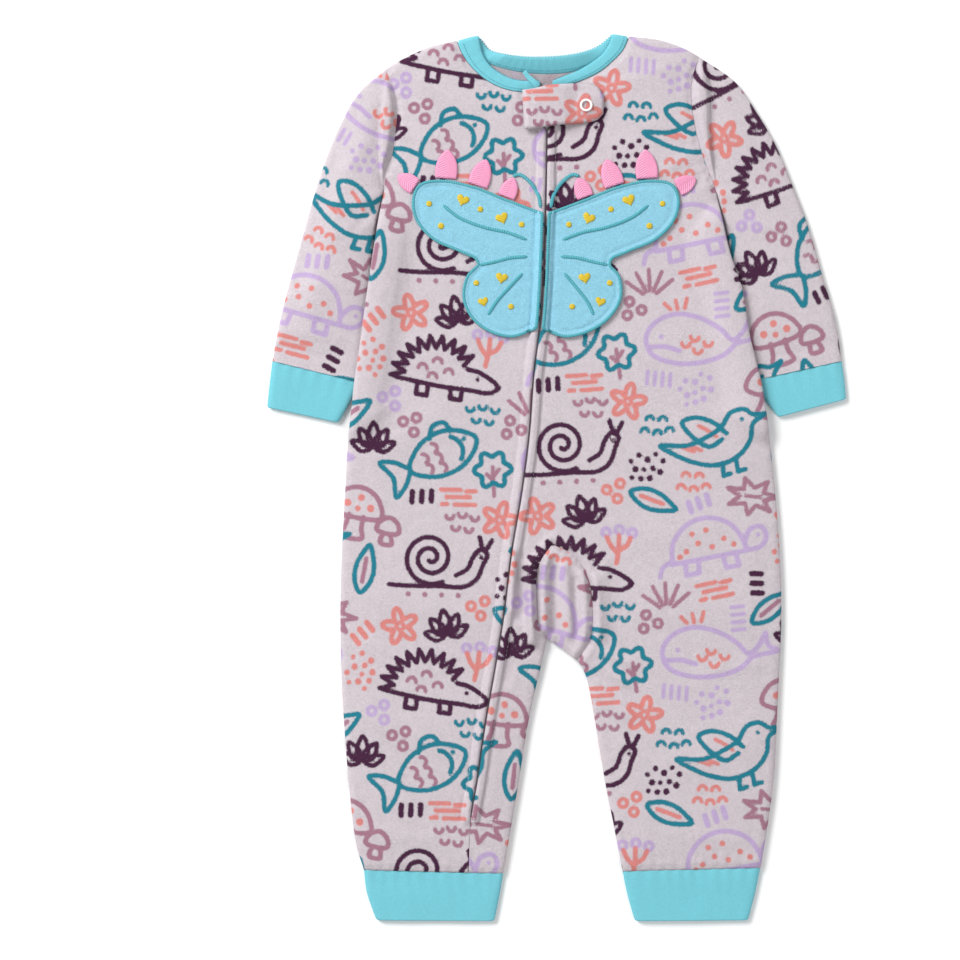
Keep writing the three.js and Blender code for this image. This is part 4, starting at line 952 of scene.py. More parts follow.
class Net:
    """A flat net of four-cornered cells, in blocks that share the points of their shared edges."""

    def __init__(self, pitch: float = 1.0) -> None:
        """Starts an empty net, whose rows are spread at a pitch."""
        self.grids: list[Array] = []
        self.pitch = pitch

    def rows(
        self, length: float, first: Rail, second: Rail, shares: Callable[[Array, Array], Array],
        bow: Curve | None = None,
    ) -> Net:
        """Adds a block with as many rows as fit a length.

        Args:
            length: The length.
            first: Gives the first edge's points.
            second: Gives the second edge's points.
            shares: Gives the columns' places from both edges' points.
            bow: A curve that the last row follows.

        Returns:
            The net.
        """
        count = math.ceil(length / self.pitch)
        a, b = first(count), second(count)
        return self.block(a, b, shares(a, b), bow)

    def block(self, first: Array, second: Array, shares: Array, bow: Curve | None = None) -> Net:
        """Adds a block between two edges.

        Args:
            first: The first edge's points, one for each row.
            second: The second edge's points.
            shares: For each row, where between the edges its columns lie.
            bow: A curve that the last row follows in place of the straight, and the others less.

        Returns:
            The net.
        """
        across = shares[:, :, None]
        grid = first[:, None] * (1 - across) + second[:, None] * across
        if bow is not None:
            chord = bow.at(0.0) * (1 - across) + bow.at(1.0) * across
            grid += (bow.at(shares) - chord) * np.linspace(0, 1, len(first))[:, None, None] ** 2
        self.grids.append(grid)
        return self

    def joined(self) -> tuple[Array, Ids]:
        """Joins the blocks.

        Returns:
            The net's points, and its cells with their corners in turn as seen from above, each
            from an end of its shorter diagonal, along which Blender splits it.
        """
        spots = np.vstack([grid.reshape(-1, 2) for grid in self.grids])
        keys = np.round(spots * 1000).astype(np.int64)
        _, first, index = np.unique(keys, axis=0, return_index=True, return_inverse=True)
        index = index.ravel()
        cells, start = [], 0
        for grid in self.grids:
            rows, columns = grid.shape[:2]
            ids = index[start:start + rows * columns].reshape(rows, columns)
            start += rows * columns
            along, across = grid[1:, :-1] - grid[:-1, :-1], grid[:-1, 1:] - grid[:-1, :-1]
            turned = np.sum(across[..., 0] * along[..., 1] - across[..., 1] * along[..., 0]) < 0
            corners = [ids[:-1, :-1], ids[:-1, 1:], ids[1:, 1:], ids[1:, :-1]]
            cells.append(np.stack(corners[::-1] if turned else corners, axis=-1).reshape(-1, 4))
        points, faces = spots[first], np.vstack(cells)
        a, b, c, d = (points[faces[:, k]] for k in range(4))
        longer = np.hypot(*(a - c).T) > np.hypot(*(b - d).T)
        faces[longer] = np.roll(faces[longer], -1, axis=1)
        return points, faces


def wall(points: Array, cells: Ids, upper: Array, lower: Array) -> Mesh:
    """Closes a net into a shell.

    Args:
        points: The net's points.
        cells: The net's cells.
        upper: The height of the upper side at each point.
        lower: The height of the lower side.

    Returns:
        The shell: upper points first, then as many lower ones.
    """
    count = len(points)
    starts, ends = cells.ravel(), np.roll(cells, -1, axis=1).ravel()
    free = ~np.isin(starts * count + ends, ends * count + starts)
    a, b = starts[free], ends[free]
    sides = np.column_stack([b, a, a + count, b + count])
    vertices = np.vstack([np.column_stack([points, upper]), np.column_stack([points, lower])])
    return Mesh(vertices, [cells, cells[:, [0, 3, 2, 1]] + count, sides])


def fine_shares(width: Array, first: Points, second: Points, count: int, relax: Array | float = 0.0) -> Array:
    """Places columns across rows: close together near both edges, even between them.

    Args:
        width: The rows' widths.
        first: Distances of the close columns from the first edge.
        second: Distances of the close columns from the second edge.
        count: How many even columns lie between them.
        relax: With 1 the columns near the second edge are even too.

    Returns:
        The columns' places as shares of the width, a line for each row.
    """
    reach = first[-1] + second[-1]
    scale = np.minimum(1, 0.8 * width / reach) / width
    start, end = np.outer(scale, first), 1 - np.outer(scale, second[::-1])
    t = np.linspace(0, 1, count + 1)[1:-1]
    rest = np.hstack([start[:, -1:] * (1 - t) + end[:, :1] * t, end])
    evenly = start[:, -1:] + (1 - start[:, -1:]) * np.linspace(0, 1, rest.shape[1] + 1)[1:]
    relax = np.reshape(relax, (-1, 1))
    return np.hstack([start, rest * (1 - relax) + evenly * relax])


def widths(first: Array, second: Array) -> Array:
    """Gives the distances between two edges' points."""
    return np.hypot(*(second - first).T)


def lattice(ids: Ids) -> Ids:
    """Gives the cells between neighbouring rings of points.

    Args:
        ids: The points' numbers; each row is a ring.

    Returns:
        The cells, with four corners each.
    """
    after = np.roll(ids, -1, axis=-1)
    corners = [ids[..., :-1, :], after[..., :-1, :], after[..., 1:, :], ids[..., 1:, :]]
    return np.stack(corners, -1).reshape(-1, 4)


def right_way_out(mesh: Mesh) -> Mesh:
    """Turns a closed mesh's faces outward.

    Args:
        mesh: The mesh.

    Returns:
        The same mesh.
    """
    volume = 0.0
    for part in mesh.faces:
        for k in range(1, part.shape[1] - 1):
            p, q, r = (mesh.points[part[:, i]] for i in (0, k, k + 1))
            volume += float(np.sum(p * np.cross(q, r)))
    if volume < 0:
        mesh.faces = [part[:, ::-1] for part in mesh.faces]
    return mesh


class Shapes:
    """The flat nets of the cut pieces."""

    FRONT_PITCH, BACK_PITCH = 1.65, 2.2
    RELAX_RUN = 60.0
    # How many even columns lie across the left front, the right one, its strip and half the back
    LEFT_COLUMNS, RIGHT_COLUMNS, STRIP_COLUMNS, BACK_COLUMNS = 84, 80, 12, 62
    GUSSET_CELLS, GUSSET_END, GUSSET_GAP = (70, 30), 0.98, 0.03

    def __init__(self, form: Form) -> None:
        """Takes the edges from the form.

        Args:
            form: The garment's form.
        """
        self.form = form
        self.foot = {name: points[0][1] for name, points in OUTLINE.items()}
        self.bows = form.edges["shoulder_left"], Curve(OUTLINE["shoulder_right"][::-1])

    def front_left(self) -> Net:
        """Gives the net of the front on the zip's left.

        Returns:
            The net.
        """
        form, net, foot = self.form, Net(self.FRONT_PITCH), self.foot
        side, arm, neck = (form.edges[f"{name}_left"] for name in ("side", "armhole", "neck_front"))
        edge = partial(form.zip_climb, -1)

        def shares(first: Array, second: Array) -> Array:
            """Places the columns from the side to the zip."""
            return fine_shares(widths(first, second), SIDE_STEPS, WELT_STEPS, self.LEFT_COLUMNS)

        for start, low, high in ((foot["side_left"], foot["zip"], CROTCH_Y), (CROTCH_Y, CROTCH_Y, GUSSET_TOP_Y),
                                 (GUSSET_TOP_Y, GUSSET_TOP_Y, UNDERARM_Y)):
            net.rows(high - low, partial(side.climb, start, high), partial(edge, low, high), shares)
        net.rows(ZIP_TOP - UNDERARM_Y, partial(arm.part, 0, ARM_SPLIT), partial(edge, UNDERARM_Y, ZIP_TOP), shares)
        return net.rows(neck.length, partial(arm.part, ARM_SPLIT, 1), partial(neck.part, 0, 1), shares, self.bows[0])

    def side_shares(self, width: Array, relax: Array | float = 0.0) -> Array:
        """Places the columns of a block whose rolled edge is on the right."""
        return 1 - fine_shares(width, SIDE_STEPS, FEW_STEPS, self.RIGHT_COLUMNS, relax)[:, ::-1]

    def front_right(self) -> Net:
        """Gives the net of the front on the zip's right, with its strip of the left leg.

        Returns:
            The net.
        """
        form, net, foot = self.form, Net(self.FRONT_PITCH), self.foot
        names = "side", "inseam", "armhole", "neck_front"
        side, inseam, arm, neck = (form.edges[f"{name}_right"] for name in names)
        edge, inner = partial(form.zip_climb, 1), form.edges["inseam_left"]

        def strip(width: Array, relax: Array | float = 0.0) -> Array:
            """Places the strip's columns."""
            return fine_shares(width, WELT_STEPS, FEW_STEPS, self.STRIP_COLUMNS, relax)

        def narrow(first: Array, second: Array) -> Array:
            """Places the columns of rows that are only as wide as the strip."""
            return strip(widths(first, second))

        def leg(first: Array, second: Array) -> Array:
            """Places the columns of rows without the strip."""
            return self.side_shares(widths(first, second))

        def whole(first: Array, second: Array) -> Array:
            """Places the columns of rows that reach from the zip to the side.

            Args:
                first: The rows' points on the zip's edge.
                second: Their points on the side.

            Returns:
                The columns' places as shares of the width.
            """
            width = widths(first, second)
            relax = smooth((first[:, 1] - GUSSET_TOP_Y) / self.RELAX_RUN)
            start = strip(width * GUSSET_SHARE, relax) * GUSSET_SHARE
            rest = self.side_shares(width * (1 - GUSSET_SHARE), relax)
            return np.hstack([start, GUSSET_SHARE + (1 - GUSSET_SHARE) * rest[:, 1:]])

        second = partial(inner.climb, foot["inseam_left"], CROTCH_Y)
        net.rows(CROTCH_Y - foot["zip"], partial(edge, foot["zip"], CROTCH_Y), second, narrow)
        second = partial(form.gusset_left.part, 0, 1)
        net.rows(GUSSET_TOP_Y - CROTCH_Y, partial(edge, CROTCH_Y, GUSSET_TOP_Y), second, narrow)
        first = partial(inseam.climb, foot["inseam_right"], GUSSET_FORK_Y)
        second = partial(side.climb, foot["side_right"], GUSSET_FORK_Y)
        net.rows(GUSSET_FORK_Y - foot["inseam_right"], first, second, leg)
        first, second = partial(form.gusset_right.part, 0, 1), partial(side.climb, GUSSET_FORK_Y, GUSSET_TOP_Y)
        net.rows(GUSSET_TOP_Y - GUSSET_FORK_Y, first, second, leg)
        heights = GUSSET_TOP_Y, UNDERARM_Y
        net.rows(UNDERARM_Y - GUSSET_TOP_Y, partial(edge, *heights), partial(side.climb, *heights), whole)
        net.rows(ZIP_TOP - UNDERARM_Y, partial(edge, UNDERARM_Y, ZIP_TOP), partial(arm.part, 0, ARM_SPLIT), whole)
        return net.rows(neck.length, partial(neck.part, 0, 1), partial(arm.part, ARM_SPLIT, 1), whole, self.bows[1])

    def back(self) -> Net:
        """Gives the net of the back: two legs, and the torso in two halves.

        Returns:
            The net.
        """
        form, net, nape = self.form, Net(), self.form.edges["neck_back"]
        top = nape.at(0.5)

        def middle(low: float, high: float, rows: int) -> Array:
            """Gives points of the line from the crotch to the nape.

            Args:
                low: The height that it starts at.
                high: The height that it ends at.
                rows: How many rows it has.

            Returns:
                The points, one more than the rows.
            """
            y = np.linspace(low, high, rows + 1)
            share = (y - CROTCH_Y) / (top[1] - CROTCH_Y)
            return np.column_stack([form.crotch[0] + (top[0] - form.crotch[0]) * share, y])

        def add(
            right: int, length: float, edge: Rail, inner: Rail, relax: Sequence[float], bowed: bool = False,
        ) -> None:
            """Adds a block between a side edge and the middle or the inseam.

            Args:
                right: 1 where it is on the right, else 0.
                length: The length that its rows are spread over.
                edge: Gives the side edge's points.
                inner: Gives the other edge's points.
                relax: How evenly the first and the last row's columns lie at the inner edge.
                bowed: Whether the last row follows the shoulder.
            """
            rows = math.ceil(length / self.BACK_PITCH)
            first, second = edge(rows), inner(rows)
            relaxed = smooth(np.linspace(*relax, rows + 1))
            shares = fine_shares(widths(first, second), SIDE_STEPS, FEW_STEPS, self.BACK_COLUMNS, relaxed)
            if right:
                first, second, shares = second, first, 1 - shares[:, ::-1]
            net.block(first, second, shares, self.bows[right] if bowed else None)

        for right, name in enumerate(("left", "right")):
            side, inseam, arm = (form.edges[f"{part}_{name}"] for part in ("side", "inseam", "armhole"))
            heights = self.foot[f"side_{name}"], CROTCH_Y
            add(right, CROTCH_Y - heights[0], partial(side.climb, *heights), partial(inseam.part, 0, 1), (0, 0))
            for heights, relax in (((CROTCH_Y, GUSSET_TOP_Y), (0, 1)), ((GUSSET_TOP_Y, UNDERARM_Y), (1, 1))):
                length = heights[1] - heights[0]
                add(right, length, partial(side.climb, *heights), partial(middle, *heights), relax)
            heights = UNDERARM_Y, top[1]
            add(right, top[1] - UNDERARM_Y, partial(arm.part, 0, ARM_SPLIT), partial(middle, *heights), (1, 1))
            add(right, nape.length / 2, partial(arm.part, ARM_SPLIT, 1), partial(nape.part, 0.5, right), (1, 1), True)
        return net

    def gusset(self) -> Net:
        """Gives the net of the crotch gusset, just inside its two seams.

        Returns:
            The net.
        """
        rows, columns = self.GUSSET_CELLS
        left = self.form.gusset_left.part(0, self.GUSSET_END, rows) + (self.GUSSET_GAP, 0)
        right = self.form.gusset_right.part(0, self.GUSSET_END, rows) - (self.GUSSET_GAP, 0)
        return Net().block(left, right, np.tile(np.linspace(0, 1, columns + 1), (rows + 1, 1)))


class Graph:
    """A node tree under construction."""

    def __init__(self, tree: bpy.types.NodeTree) -> None:
        """Takes an empty tree."""
        self.tree = tree

    def feed(self, node: bpy.types.Node, inputs: dict[str | int, object]) -> None:
        """Gives a node its inputs.

        Args:
            node: The node.
            inputs: Values for its inputs; a socket is linked.
        """
        for name, value in inputs.items():
            if isinstance(value, Socket):
                self.tree.links.new(value, node.inputs[name])
            else:
                node.inputs[name].default_value = value

    def add(self, kind: str, inputs: dict[str | int, object] | None = None, **settings: object) -> bpy.types.Node:
        """Adds a node.

        Args:
            kind: The node's type, without its ShaderNode prefix.
            inputs: Values for its inputs; a socket is linked.
            **settings: Values for the node's own properties.

        Returns:
            The node.
        """
        prefix = "" if kind.startswith("Node") else "ShaderNode"
        node = self.tree.nodes.new(prefix + kind)
        node.location = (180 * (len(self.tree.nodes) % 12), -220 * (len(self.tree.nodes) // 12))
        for name, value in settings.items():
            setattr(node, name, value)
        self.feed(node, inputs or {})
        return node

    def math(self, operation: str, a: object, b: object = 0.0, c: object = 0.0) -> Socket:
        """Adds a sum, product or other operation on numbers."""
        return self.add("Math", {0: a, 1: b, 2: c}, operation=operation).outputs[0]

    def wave(self, place: object, pitch: float) -> Socket:
        """Adds a sine wave over a place, with a pitch in the place's unit."""
        return self.math("SINE", self.math("MULTIPLY", place, 2 * math.pi / pitch))

    def ease(self, value: object, low: float, high: float, start: float = 0.0, end: float = 1.0) -> Socket:
        """Adds a smooth step from start at low to end at high."""
        inputs = {"Value": value, "From Min": low, "From Max": high, "To Min": start, "To Max": end}
        return self.add("MapRange", inputs, interpolation_type="SMOOTHSTEP").outputs["Result"]

    def blend(self, share: object, a: object, b: object, kind: str = "MIX") -> Socket:
        """Adds a mix of two colours."""
        node = self.add("Mix", {0: share, 6: a, 7: b}, data_type="RGBA", blend_type=kind, clamp_factor=True)
        return node.outputs[2]

    def shaded(self, colour: object, shade: Socket) -> Socket:
        """Adds a colour made lighter or darker by a shade."""
        grey = self.add("CombineColor", {0: shade, 1: shade, 2: shade}).outputs[0]
        return self.blend(1.0, colour, grey, "MULTIPLY")

    def noise(self, place: object, pitch: float, detail: float = 2.0, rough: float = 0.5) -> Socket:
        """Adds noise.

        Args:
            place: Where it is read.
            pitch: The size of its features in millimetres.
            detail: How many finer layers it has.
            rough: How strong these are.

        Returns:
            The noise, from about -1 to 1.
        """
        inputs = {"Vector": place, "Scale": 1 / (pitch * MM), "Detail": detail, "Roughness": rough}
        return self.math("MULTIPLY_ADD", self.add("TexNoise", inputs).outputs[0], 2.0, -1.0)


class Effects:
    """The shader effects that several materials use, each made once as a node group."""

    # Sizes of the features in millimetres
    CLUMP, FIBRE, MOTTLE = 1.7, 0.6, 5.5
    WALE, COURSE, YARN = 1.35, 1.6, 1.6
    SATIN_THREAD, SATIN_WANDER = 1.7, 2.4
    # Where an ink's edge starts and ends, and how far the pile moves it
    INK_EDGE, INK_FRAY = (-0.75, 0.4), 1.15
    # How strongly the inks show on the right side and on the wrong side
    INK_SHARES = (0.99, 0.2)

    def __init__(self) -> None:
        """Makes the groups."""
        self.nap = self.make_nap()
        self.print = self.make_print()
        self.knit = self.make_knit()
        self.satin = self.make_satin()

    def group(
        self, name: str, inputs: dict[str, str], outputs: dict[str, str],
    ) -> tuple[Graph, bpy.types.Node, bpy.types.Node]:
        """Starts a group with named sockets.

        Args:
            name: The group's name.
            inputs: The kind of each input.
            outputs: The kind of each output.

        Returns:
            The group's graph, its input node and its output node.
        """
        tree = bpy.data.node_groups.new(name, "ShaderNodeTree")
        for side, sockets in (("INPUT", inputs), ("OUTPUT", outputs)):
            for title, kind in sockets.items():
                tree.interface.new_socket(title, in_out=side, socket_type=f"NodeSocket{kind}")
        graph = Graph(tree)
        return graph, graph.add("NodeGroupInput"), graph.add("NodeGroupOutput")

    def make_nap(self) -> bpy.types.NodeTree:
        """Makes the nap of fleece.

        Returns:
            The group: clumped pile as height, the colour's speckle, and what frays the inks.
        """
        graph, _, out = self.group("Nap", {}, {"Height": "Float", "Speckle": "Float", "Fuzz": "Float"})
        place = graph.add("TexCoord").outputs["Object"]
        clumps = graph.noise(place, self.CLUMP, 3.0, 0.65)
        fibres = graph.noise(place, self.FIBRE, 2.0, 0.7)
        soft = graph.noise(place, self.MOTTLE)
        height = graph.math("MULTIPLY_ADD", clumps, 0.6, fibres)
        speckle = graph.math("MULTIPLY_ADD", soft, 0.2, height)
        fuzz = graph.math("MULTIPLY_ADD", clumps, 0.9, fibres)
        graph.feed(out, {"Height": height, "Speckle": speckle, "Fuzz": fuzz})
        return graph.tree

    def make_print(self) -> bpy.types.NodeTree:
        """Makes the print.

        Returns:
            The group: five inks over a base colour, which is darkened as painted shade on the wrong side, with edges
                that the pile breaks up.
        """
        inputs = {"Base": "Color", "Ink A": "Vector", "Ink B": "Vector", "Fuzz": "Float", "Speckle": "Float"}
        graph, into, out = self.group("Print", inputs, {"Color": "Color"})
        a = graph.add("SeparateXYZ", {0: into.outputs["Ink A"]}).outputs
        b = graph.add("SeparateXYZ", {0: into.outputs["Ink B"]}).outputs
        ghost = graph.ease(b[2], 0.4, 0.6, *self.INK_SHARES)
        # On the wrong side the base colour gives way to a darker grey-pink: painted shade, as where the inside shows
        # at the neck.
        painted_shade_on_wrong_side = graph.ease(b[2], 0.4, 0.6)
        colour = graph.blend(painted_shade_on_wrong_side, into.outputs["Base"], linear_colour(WRONG_SIDE_PAINTED_SHADE))
        for depth, ink in ((b[1], L), (b[0], M), (a[2], C), (a[0], T), (a[1], P)):
            rough = graph.math("MULTIPLY_ADD", into.outputs["Fuzz"], self.INK_FRAY, depth)
            mask = graph.math("MULTIPLY", graph.ease(rough, *self.INK_EDGE), ghost)
            colour = graph.blend(mask, colour, linear_colour(INKS[ink]))
        shade = graph.ease(into.outputs["Speckle"], -0.85, 0.85, 0.8, 1.15)
        graph.feed(out, {"Color": graph.shaded(colour, shade)})
        return graph.tree

    def make_knit(self) -> bpy.types.NodeTree:
        """Makes jersey.

        Returns:
            The group: fine wales and courses as height, and a slight mottle.
        """
        graph, into, out = self.group("Jersey", {"Base": "Color"}, {"Height": "Float", "Color": "Color"})
        place = graph.add("TexCoord").outputs["Object"]
        apart = graph.add("SeparateXYZ", {0: place}).outputs
        wale = graph.wave(apart[0], self.WALE * MM)
        course = graph.wave(apart[1], self.COURSE * MM)
        mottle = graph.noise(place, self.YARN, 3.0, 0.65)
        height = graph.math("MULTIPLY_ADD", mottle, 0.8, graph.math("MULTIPLY", wale, 0.1))
        height = graph.math("MULTIPLY_ADD", course, 0.05, height)
        shade = graph.ease(graph.math("MULTIPLY_ADD", mottle, 0.6, height), -1.5, 1.5, 0.9, 1.08)
        graph.feed(out, {"Height": height, "Color": graph.shaded(into.outputs["Base"], shade)})
        return graph.tree

    def make_satin(self) -> bpy.types.NodeTree:
        """Makes satin stitch.

        Returns:
            The group: threads side by side, as height and as painted sheen and shade on each thread.
        """
        inputs = {"Base": "Color", "Thread": "Vector"}
        graph, into, out = self.group("Satin stitch", inputs, {"Height": "Float", "Color": "Color"})
        place = graph.add("TexCoord").outputs["Object"]
        along = graph.add("SeparateXYZ", {0: into.outputs["Thread"]}).outputs[0]
        uneven = graph.noise(place, self.SATIN_WANDER)
        turns = graph.math("MULTIPLY", along, 2 * math.pi / self.SATIN_THREAD)
        thread = graph.math("SINE", graph.math("MULTIPLY_ADD", uneven, 1.3, turns))
        # Each thread's crest is lighter and the dips between are darker: painted sheen and shade, with the noise
        # adding an uneven tone.
        shade = graph.ease(graph.math("MULTIPLY_ADD", uneven, 0.6, thread), -1.5, 1.5, 0.88, 1.12)
        graph.feed(out, {"Height": thread, "Color": graph.shaded(into.outputs["Base"], shade)})
        return graph.tree


class Weave(Enum):
    """What a material's surface is made of."""

    FLEECE = "fleece"
    PRINTED = "printed fleece"
    JERSEY = "jersey"
    SATIN = "satin stitch"
    TAPE = "woven tape"
    PLAIN = "plain"


@dataclass(frozen=True)
class Finish:
    """A material's colour and surface."""

    name: str
    colour: str
    weave: Weave
    roughness: float
    relief: float = 0.0
    sheen: float = 0.0
    gloss: float = 0.5


class Materials:
    """Makes each finish's material once."""

    FLEECE = Finish("Printed fleece", "d1c7cd", Weave.PRINTED, 0.95, 0.4, 0.05, 0.1)
    WING = Finish("Aqua fleece", "92cee4", Weave.FLEECE, 0.95, 0.4, 0.05, 0.1)
    TRIM = Finish("Aqua jersey", "72becb", Weave.JERSEY, 0.85, 0.12, 0.05, 0.1)
    OUTLINE = Finish("Teal satin stitch", "469fab", Weave.SATIN, 0.5, 0.14)
    PETAL = Finish("Pink satin stitch", "e897bb", Weave.SATIN, 0.5, 0.12)
    HEART = Finish("Yellow satin stitch", "d2b62a", Weave.SATIN, 0.42, 0.14)
    PALE_THREAD = Finish("Pale sewing thread", "d6cdd4", Weave.PLAIN, 0.6)
    AQUA_THREAD = Finish("Aqua sewing thread", "4b9fad", Weave.PLAIN, 0.6)
    TAPE = Finish("Zip tape", "c9bec8", Weave.TAPE, 0.8, 0.1)
    COIL = Finish("Zip coil", "cdc2cc", Weave.PLAIN, 0.4)
    METAL = Finish("White enamelled metal", "f4f2f0", Weave.PLAIN, 0.3)
    # Depths that stand for no ink, on the right side of the cloth
    NO_INK = {"Ink A": (-9, -9, -9), "Ink B": (-9, -9, 0)}
    TAPE_GRAIN, PLAIN_GRAIN = 0.9, 1.7

    def __init__(self) -> None:
        """Starts with the shared effects."""
        self.effects = Effects()
        self.made: dict[str, bpy.types.Material] = {}

    def get(self, finish: Finish) -> bpy.types.Material:
        """Gives a finish's material, and makes it the first time.

        Args:
            finish: The finish.

        Returns:
            Its material.
        """
        if finish.name not in self.made:
            self.made[finish.name] = self.make(finish)
        return self.made[finish.name]

    def make(self, finish: Finish) -> bpy.types.Material:
        """Makes a finish's material.

        Args:
            finish: The finish.

        Returns:
            The new material.
        """
        material = bpy.data.materials.new(finish.name)
        material.use_nodes = True
        material.node_tree.nodes.clear()
        material.diffuse_color = linear_colour(finish.colour)
        graph = Graph(material.node_tree)
        surface = {"Roughness": finish.roughness, "Sheen Weight": finish.sheen, "Specular IOR Level": finish.gloss}
        shader = graph.add("BsdfPrincipled", surface)
        graph.add("OutputMaterial", {"Surface": shader.outputs[0]})
        colour, height = self.surface(graph, finish)
        bump = graph.add("Bump", {"Height": height, "Distance": finish.relief * MM, "Strength": 1.0})
        graph.feed(shader, {"Base Color": colour, "Normal": bump.outputs[0]})
        return material

    def surface(self, graph: Graph, finish: Finish) -> tuple[Socket, Socket]:
        """Adds a finish's colour and height.

        Args:
            graph: The material's graph.
            finish: The finish.

        Returns:
            The sockets of its colour and of its height.
        """
        base, groups, weave = linear_colour(finish.colour), self.effects, finish.weave
        if weave in (Weave.FLEECE, Weave.PRINTED):
            nap = graph.add("Group", node_tree=groups.nap).outputs
            inks = dict(self.NO_INK)
            if weave is Weave.PRINTED:
                for title, name in (("Ink A", "ink_a"), ("Ink B", "ink_b")):
                    inks[title] = graph.add("Attribute", attribute_name=name).outputs["Vector"]
            inks |= {"Base": base, "Fuzz": nap["Fuzz"], "Speckle": nap["Speckle"]}
            return graph.add("Group", inks, node_tree=groups.print).outputs["Color"], nap["Height"]
        if weave is Weave.JERSEY:
            made = graph.add("Group", {"Base": base}, node_tree=groups.knit).outputs
            return made["Color"], made["Height"]
        if weave is Weave.SATIN:
            thread = graph.add("Attribute", attribute_name="thread").outputs["Vector"]
            made = graph.add("Group", {"Base": base, "Thread": thread}, node_tree=groups.satin).outputs
            return made["Color"], made["Height"]
        place = graph.add("TexCoord").outputs["Object"]
        grain = graph.noise(place, self.TAPE_GRAIN if weave is Weave.TAPE else self.PLAIN_GRAIN)
        return graph.shaded(base, graph.ease(grain, -1, 1, 0.92, 1.06)), grain


@dataclass(frozen=True)
class Cut:
    """A sheet's flat size and area before it was sewn, in metres, and what it rests on."""

    flat: tuple[float, float]
    area: float
    rests_on: tuple[str, ...] = ()


@dataclass
class Workshop:
    """What the pieces are made with."""

    form: Form
    nap: Nap
    chart: Print
    materials: Materials
    triangles: int = 0

    def place(
        self, name: str, mesh: Mesh, finish: Finish, slot: Slot, replaces: Sequence[str] = (), cut: Cut | None = None,
    ) -> None:
        """Turns a mesh into a piece of the garment.

        Args:
            name: The piece's name.
            mesh: Its mesh.
            finish: Its finish.
            slot: The record's slot; not used.
            replaces: The CAD nodes that it stands for.
            cut: Its flat size, for a sheet of cloth; not used.
        """
        data = bpy.data.meshes.new(name)
        faces = [face for part in mesh.faces for face in part.tolist()]
        data.from_pydata((mesh.points * MM).tolist(), [], faces)
        data.polygons.foreach_set("use_smooth", np.ones(len(faces), bool))
        for title, values in mesh.values.items():
            layer = data.attributes.new(title, "FLOAT_VECTOR", "POINT")
            layer.data.foreach_set("vector", np.ascontiguousarray(values, dtype=np.float32).ravel())
        data.materials.append(self.materials.get(finish))
        data.update()
        piece = bpy.data.objects.new(name, data)
        bpy.context.scene.collection.objects.link(piece)
        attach(piece, "root")
        if replaces:
            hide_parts(*replaces)
        self.triangles += mesh.triangles()
        LOG.info("%s: %d triangles", name, mesh.triangles())

    def inked(self, mesh: Mesh, inside: Array, cut: Place) -> Mesh:
        """Adds the print to a mesh.

        Args:
            mesh: The mesh.
            inside: For each point, 1 on the cloth's wrong side and 0 on its right side.
            cut: Where on the print's repeat the piece was cut, and at which angle.

        Returns:
            The mesh.
        """
        depth = self.chart.depths(mesh.points, cut[:2], cut[2])
        mesh.values["ink_a"] = depth[:, [Ink.TEAL, Ink.PLUM, Ink.CORAL]]
        mesh.values["ink_b"] = np.column_stack([depth[:, [Ink.MAUVE, Ink.LILAC]], inside])
        return mesh

    def cloth_top(self, points: Array) -> Array:
        """Gives the height of the fronts' upper side at points."""
        lie = Lie(self.form, points)
        return lie.front_top() + self.nap.front(lie)


@dataclass
class Panels:
    """The body's printed fleece panels: the back, the two fronts and the gusset."""

    shop: Workshop
    # Where on the repeat each panel was cut, and its angle in degrees
    left_cut: Place = (38.0, 104.0, 2.0)
    right_cut: Place = (150.0, 20.0, -3.0)
    back_cut: Place = (80.0, 160.0, 1.0)
    gusset_cut: Place = (20.0, 60.0, 24.0)
    thinnest: float = 0.9
    most_crease: float = 1.2

    def build(self) -> None:
        """Makes the panels."""
        shapes = Shapes(self.shop.form)
        self.front("front_left", shapes.front_left(), self.left_cut, Cut((0.128, 0.600), 0.066, ("back",)))
        self.front("front_right", shapes.front_right(), self.right_cut, Cut((0.226, 0.604), 0.087, ("back",)))
        self.front("gusset", shapes.gusset(), self.gusset_cut, Cut((0.042, 0.086), 0.0026, ("back",)))
        self.back(shapes.back())

    def front(self, name: str, net: Net, cut: Place, sheet: Cut) -> None:
        """Makes a panel of the front.

        Args:
            name: The panel's name.
            net: Its net.
            cut: Where on the print's repeat it was cut.
            sheet: Its flat size.
        """
        points, cells = net.joined()
        lie = Lie(self.shop.form, points)
        inside = lie.front_inside()
        top = np.maximum(lie.front_top() + self.shop.nap.front(lie), inside + self.thinnest)
        mesh = wall(points, cells, top, inside)
        self.finish(f"{name}_fleece", mesh, cut, name, sheet, upper_inside=0.0)

    def back(self, net: Net) -> None:
        """Makes the back.

        Args:
            net: The back's net.
        """
        points, cells = net.joined()
        lie, nap = Lie(self.shop.form, points), self.shop.nap
        creases = BACK_CREASES.height(points) + nap.puckers(points)
        bottom = lie.back_bottom() + np.clip(creases, 0, self.most_crease) * smooth(lie.rolled / 4)
        top = lie.back_inside() + 0.5 * np.minimum(nap.pile(points), 0)
        mesh = wall(points, cells, top, bottom)
        self.finish("back_fleece", mesh, self.back_cut, "back", Cut((0.318, 0.602), 0.156), upper_inside=1.0)

    def finish(
        self, name: str, mesh: Mesh, cut: Place, node: str, sheet: Cut, upper_inside: float,
    ) -> None:
        """Prints a panel and places it.

        Args:
            name: The piece's name.
            mesh: Its shell.
            cut: Where on the print's repeat it was cut.
            node: The CAD node that it stands for.
            sheet: Its flat size.
            upper_inside: 1 where the cloth's wrong side is up, else 0.
        """
        inside = np.repeat([upper_inside, 1 - upper_inside], len(mesh.points) // 2)
        mesh = self.shop.inked(mesh, inside, cut)
        self.shop.place(name, mesh, Materials.FLEECE, Slot.FLEECE, [node], sheet)


